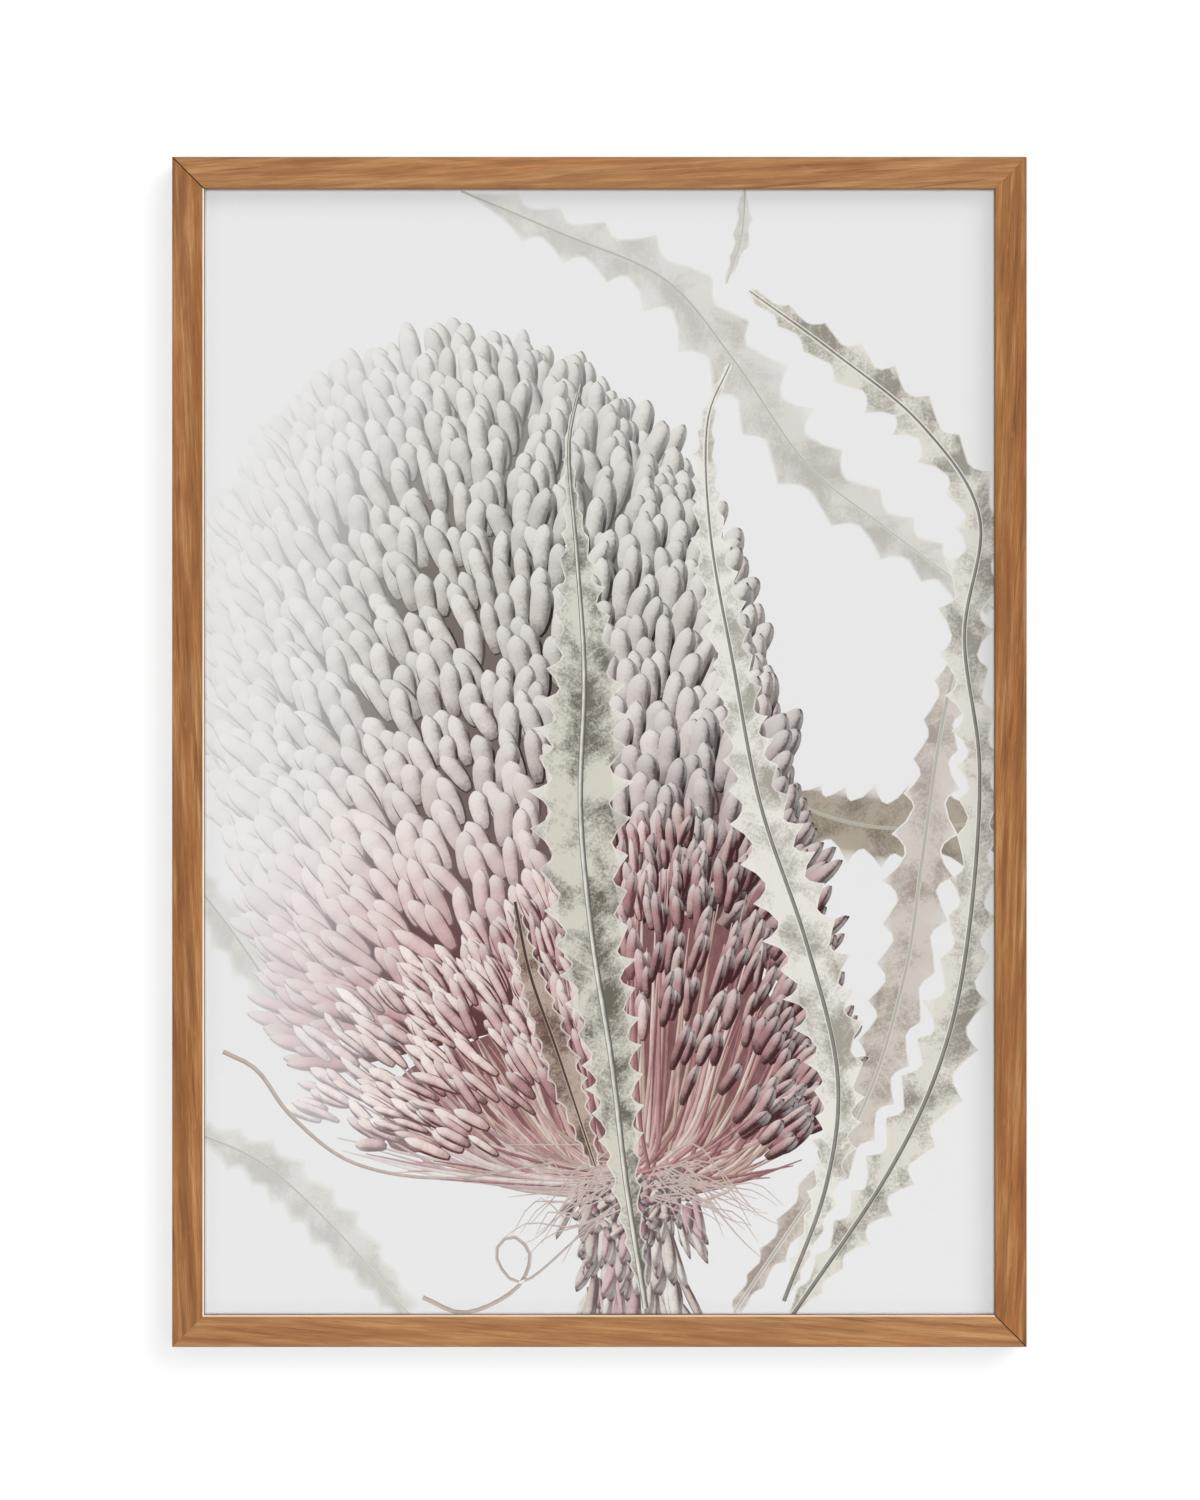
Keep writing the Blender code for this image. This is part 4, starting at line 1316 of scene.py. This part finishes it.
fittingLook = {
    "zinc": ((176, 180, 184), (132, 137, 143), 0.42),
    "steel": ((208, 208, 206), (158, 158, 156), 0.24),
    "wedge": ((128, 134, 144), (84, 88, 98), 0.36),
    "rubber": ((52, 51, 50), (30, 30, 31)),
    "buttonRib": 0.0004,
    "edgeRound": 0.00016,
    "screwTurns": (22, 61, 8, 75, 37, 52, 14, 83, 29, 66, 45, 5),
}


def metal(name, tones, spangle):
    light, dark, roughness = tones
    nodes = Nodes(name, roughness=roughness, metallic=1.0)
    cells = nodes.add("TexVoronoi", Vector=nodes.place(), Scale=spangle, Randomness=1.0)
    shine = nodes.add("SeparateXYZ", Vector=cells.outputs["Color"]).outputs[0]
    rubbed = nodes.noise(nodes.place((260, 2600, 700), rotation=(0, 25, 0)), detail=3)
    dull = nodes.noise(nodes.place(), scale=240, detail=5)
    colour = nodes.mix(nodes.times(shine, 0.5), tone(*light), tone(*dark))
    colour = nodes.over(colour, dull, [(0.50, 0.0), (0.75, 0.7)], tone(*dark))
    rough = nodes.plus(nodes.ramp(dull, [(0.3, roughness - 0.08), (0.7, roughness + 0.12)]),
                        nodes.times(nodes.minus(rubbed, 0.5), 0.25), clamp=True)
    nodes.bump(rubbed, 0.12, 0.00003)
    return nodes.set(Base_Color=colour, Roughness=rough)


def turned(name, profile, steps):
    # profile: (radius, height) in millimetres, from the axis round to the axis
    edit = bmesh.new()
    rings = []
    for radius, height in profile:
        around = [(0, 0)] if radius == 0 else arcPoints((0, 0), radius, 0, 360, steps)[:-1]
        rings.append([edit.verts.new(Vector((x, y, height)) * millimetre) for x, y in around])
    skin(edit, rings)
    return meshFrom(edit, name, outward=True)


def facingWall(place, degrees=0):
    # What was drawn looking up +Z now looks at the wall, turned by the angle
    return (Matrix.Translation(place) @ Matrix.Rotation(math.radians(-90), 4, "X")
            @ Matrix.Rotation(math.radians(degrees), 4, "Z"))


def screwMesh():
    head, height, shank = 2.68, 1.58, 1.18
    dome = arcPoints((head - 0.95, height - 0.95), 0.95, 0, 72, 6)
    profile = [(0, height), (0.9, height - 0.005)] + dome[::-1]
    profile += [(head, 0.22), (head - 0.16, 0.02), (shank + 0.1, 0.0), (shank, -0.3), (shank, -7.6),
                (0, -9.8)]
    blank = newObject("screwBlank", turned("panHeadScrew", profile, 40))
    edit = bmesh.new()
    loops = []
    for level, grow in ((height + 0.4, 1.12), (height - 0.9, 0.62)):
        loop = []
        for turn in range(4):
            spin = Matrix.Rotation(math.radians(90 * turn), 2)
            for point in ((1.40, -0.24), (1.46, 0.0), (1.40, 0.24), (0.42, 0.42)):
                x, y = spin @ Vector(point) * grow
                loop.append(edit.verts.new(Vector((x, y, level)) * millimetre))
        loops.append(loop)
    skin(edit, loops)
    edit.faces.new(loops[0])
    edit.faces.new(loops[1][::-1])
    cutter = newObject("recessCutter", meshFrom(edit, "recessCutter", outward=True))
    made = cutOut(blank, cutter)
    bpy.data.objects.remove(cutter)
    shadeRound(made, 32)
    return made


def buttonMesh():
    pivot, tip, reach, hole, thick = 3.72, 2.38, 15.6, 1.62, 1.0
    lean = math.degrees(math.acos((pivot - tip) / reach))
    outline = arcPoints((0, 0), pivot, lean, 360 - lean, 36)
    outline += arcPoints((reach, 0), tip, -lean, lean, 20)
    curve = bpy.data.curves.new("turnButton", "CURVE")
    curve.dimensions = "2D"
    curve.fill_mode = "BOTH"
    ease = fittingLook["edgeRound"] / millimetre
    curve.bevel_depth = ease
    curve.offset = -ease
    curve.bevel_resolution = 2
    curve.extrude = thick / 2 - ease
    for points in (outline, arcPoints((0, 0), hole, 0, 345, 23)):
        spline = curve.splines.new("POLY")
        spline.points.add(len(points) - 1)
        spline.use_cyclic_u = True
        for point, (x, y) in zip(spline.points, points):
            point.co = (x, y, 0, 1)
    plate = bakedMesh(newObject("buttonHelper", curve))
    # A pressed rib along the arm stiffens the plate
    edit = bmesh.new()
    edit.from_mesh(plate)
    rows, across = 28, 10
    ribHeight = fittingLook["buttonRib"] / millimetre
    grid = []
    for i in range(rows + 1):
        x = 4.4 + 10.6 * i / rows
        end = min(1.0, (x - 4.4) / 1.3, (15.0 - x) / 1.3)
        half = 1.25 * math.sqrt(max(0.0, 1 - (1 - end) ** 2)) * (1 - 0.25 * i / rows)
        row = []
        for side in (2 * j / across - 1 for j in range(across + 1)):
            raised = ribHeight * half / 1.25 * math.cos(math.pi / 2 * side) ** 1.3
            row.append(edit.verts.new((x, half * side, thick / 2 - 0.02 + raised)))
        grid.append(row)
    skin(edit, grid, closed=False)
    bmesh.ops.remove_doubles(edit, verts=edit.verts, dist=0.0005)
    bmesh.ops.scale(edit, vec=(millimetre,) * 3, verts=edit.verts)
    mesh = meshFrom(edit, "turnButton")
    shadeRound(mesh, 30)
    return mesh


def easedCopy(node, width, material, segments):
    # The frame's own shape for the piece, with its edges eased
    name = pieceName(node)
    edit = bmesh.new()
    edit.from_mesh(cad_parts[node].data)
    bmesh.ops.remove_doubles(edit, verts=edit.verts, dist=0.000005)
    bmesh.ops.dissolve_limit(edit, angle_limit=math.radians(1.0), verts=edit.verts,
                             edges=edit.edges)
    helper = newObject(name + "Helper", meshFrom(edit, name))
    ease = helper.modifiers.new("eased", "BEVEL")
    ease.width = width
    ease.segments = segments
    ease.limit_method = "ANGLE"
    ease.angle_limit = math.radians(50)
    made = bakedMesh(helper)
    made.name = name
    shadeRound(made, 40)
    made.materials.clear()
    made.materials.append(material)
    newObject(name, made, "frame", [node])


def addFittings():
    zinc = metal("zincPlate", fittingLook["zinc"], 420)
    steel = metal("brightSteel", fittingLook["steel"], 900)
    wedge = metal("wedgeSteel", fittingLook["wedge"], 1200)
    button, screw = buttonMesh(), screwMesh()
    button.materials.append(zinc)
    screw.materials.append(steel)
    turns = iter(fittingLook["screwTurns"])
    for node in sorted(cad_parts, key=lambda node: (node.startswith("corner_wedge"), node)):
        low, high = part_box(node)
        middle = (low + high) / 2
        if node.startswith("turn_button"):
            screwLow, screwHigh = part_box(node.replace("turn_button", "button_screw"))
            pivot = (screwLow + screwHigh) / 2
            away = middle - pivot
            degrees = math.degrees(math.atan2(-away.z, away.x))
            place = facingWall((pivot.x, middle.y, pivot.z), round(degrees / 90) * 90)
            newObject(pieceName(node), button, node, [node], place)
        elif "_screw_" in node:
            place = facingWall((middle.x, high.y - 1.6 * millimetre, middle.z), next(turns))
            newObject(pieceName(node), screw, "frame", [node], place)
        elif node.startswith("hanger_strap"):
            easedCopy(node, 0.00014, zinc, 2)
        elif node.startswith("hanger_ring"):
            addRing(node, steel)
        elif node.startswith("corner_wedge"):
            easedCopy(node, 0.00006, wedge, 1)


ringLook = {"wire": 0.9, "halfWidth": 5.4, "straight": 5.0, "bend": 1.5}


def addRing(node, steel):
    wire, half = ringLook["wire"], ringLook["halfWidth"]
    straight, bend = ringLook["straight"], ringLook["bend"]
    low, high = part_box(node)
    route = arcPoints((-half + bend, bend), bend, 180, 270, 10)
    route += arcPoints((half - bend, bend), bend, 270, 360, 10)
    route += arcPoints((0, straight), half, 0, 180, 48)
    edit = bmesh.new()
    rings = []
    around = 20
    for i, (x, z) in enumerate(route):
        before, after = Vector(route[i - 1]), Vector(route[(i + 1) % len(route)])
        along = (after - before).normalized()
        out = Vector((along.y, -along.x))
        # The wire thins a little where its ends were butted together at the bar
        size = wire * (0.985 if z < 0.001 else 1.0)
        rings.append([edit.verts.new(Vector((x + out.x * away, up, z + out.y * away)) * millimetre)
                      for away, up in arcPoints((0, 0), size, 0, 360, around)[:-1]])
    skin(edit, rings + rings[:1])
    mesh = meshFrom(edit, pieceName(node), outward=True)
    shadeRound(mesh, 60)
    mesh.materials.append(steel)
    place = Matrix.Translation(((low.x + high.x) / 2, (low.y + high.y) / 2,
                                low.z + wire * millimetre))
    newObject(pieceName(node), mesh, node, [node], place)


def addBumpers():
    rubber = Nodes("bumperRubber", roughness=0.62)
    bloom = rubber.noise(rubber.place(), scale=700, detail=5)
    light, dark = fittingLook["rubber"]
    dusty = rubber.noise(rubber.place(), scale=180, detail=3)
    colour = rubber.over(tone(*dark), bloom, [(0.35, 0.0), (0.65, 1.0)], tone(*light))
    colour = rubber.over(colour, dusty, [(0.55, 0.0), (0.80, 0.30)], tone(120, 116, 110))
    rubber.bump(bloom, 0.15, 0.00008)
    rubber.set(Base_Color=colour, Roughness=rubber.ramp(bloom, [(0.2, 0.75), (0.8, 0.5)]))
    for node in sorted(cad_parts):
        if not node.startswith("bumper"):
            continue
        low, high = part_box(node)
        radius, height = (high.x - low.x) / 2 / millimetre, (high.y - low.y) / millimetre
        profile = [(0, height - 0.12), (radius * 0.30, height - 0.06)]
        profile += arcPoints((radius * 0.60, height - 0.5), 0.5, 100, 60, 3)
        profile += arcPoints((radius * 0.62, height * 0.46), radius * 0.38, 68, 4, 9)
        profile += [(radius, height * 0.30), (radius, 0.12), (radius - 0.12, 0), (0, 0)]
        mesh = turned(node, profile, 44)
        shadeRound(mesh, 40)
        mesh.materials.append(rubber.material)
        place = facingWall(((low.x + high.x) / 2, low.y, (low.z + high.z) / 2))
        newObject(pieceName(node), mesh, "frame", [node], place)


addFittings()
addBumpers()
report("boards, spacers, fittings and bumpers")
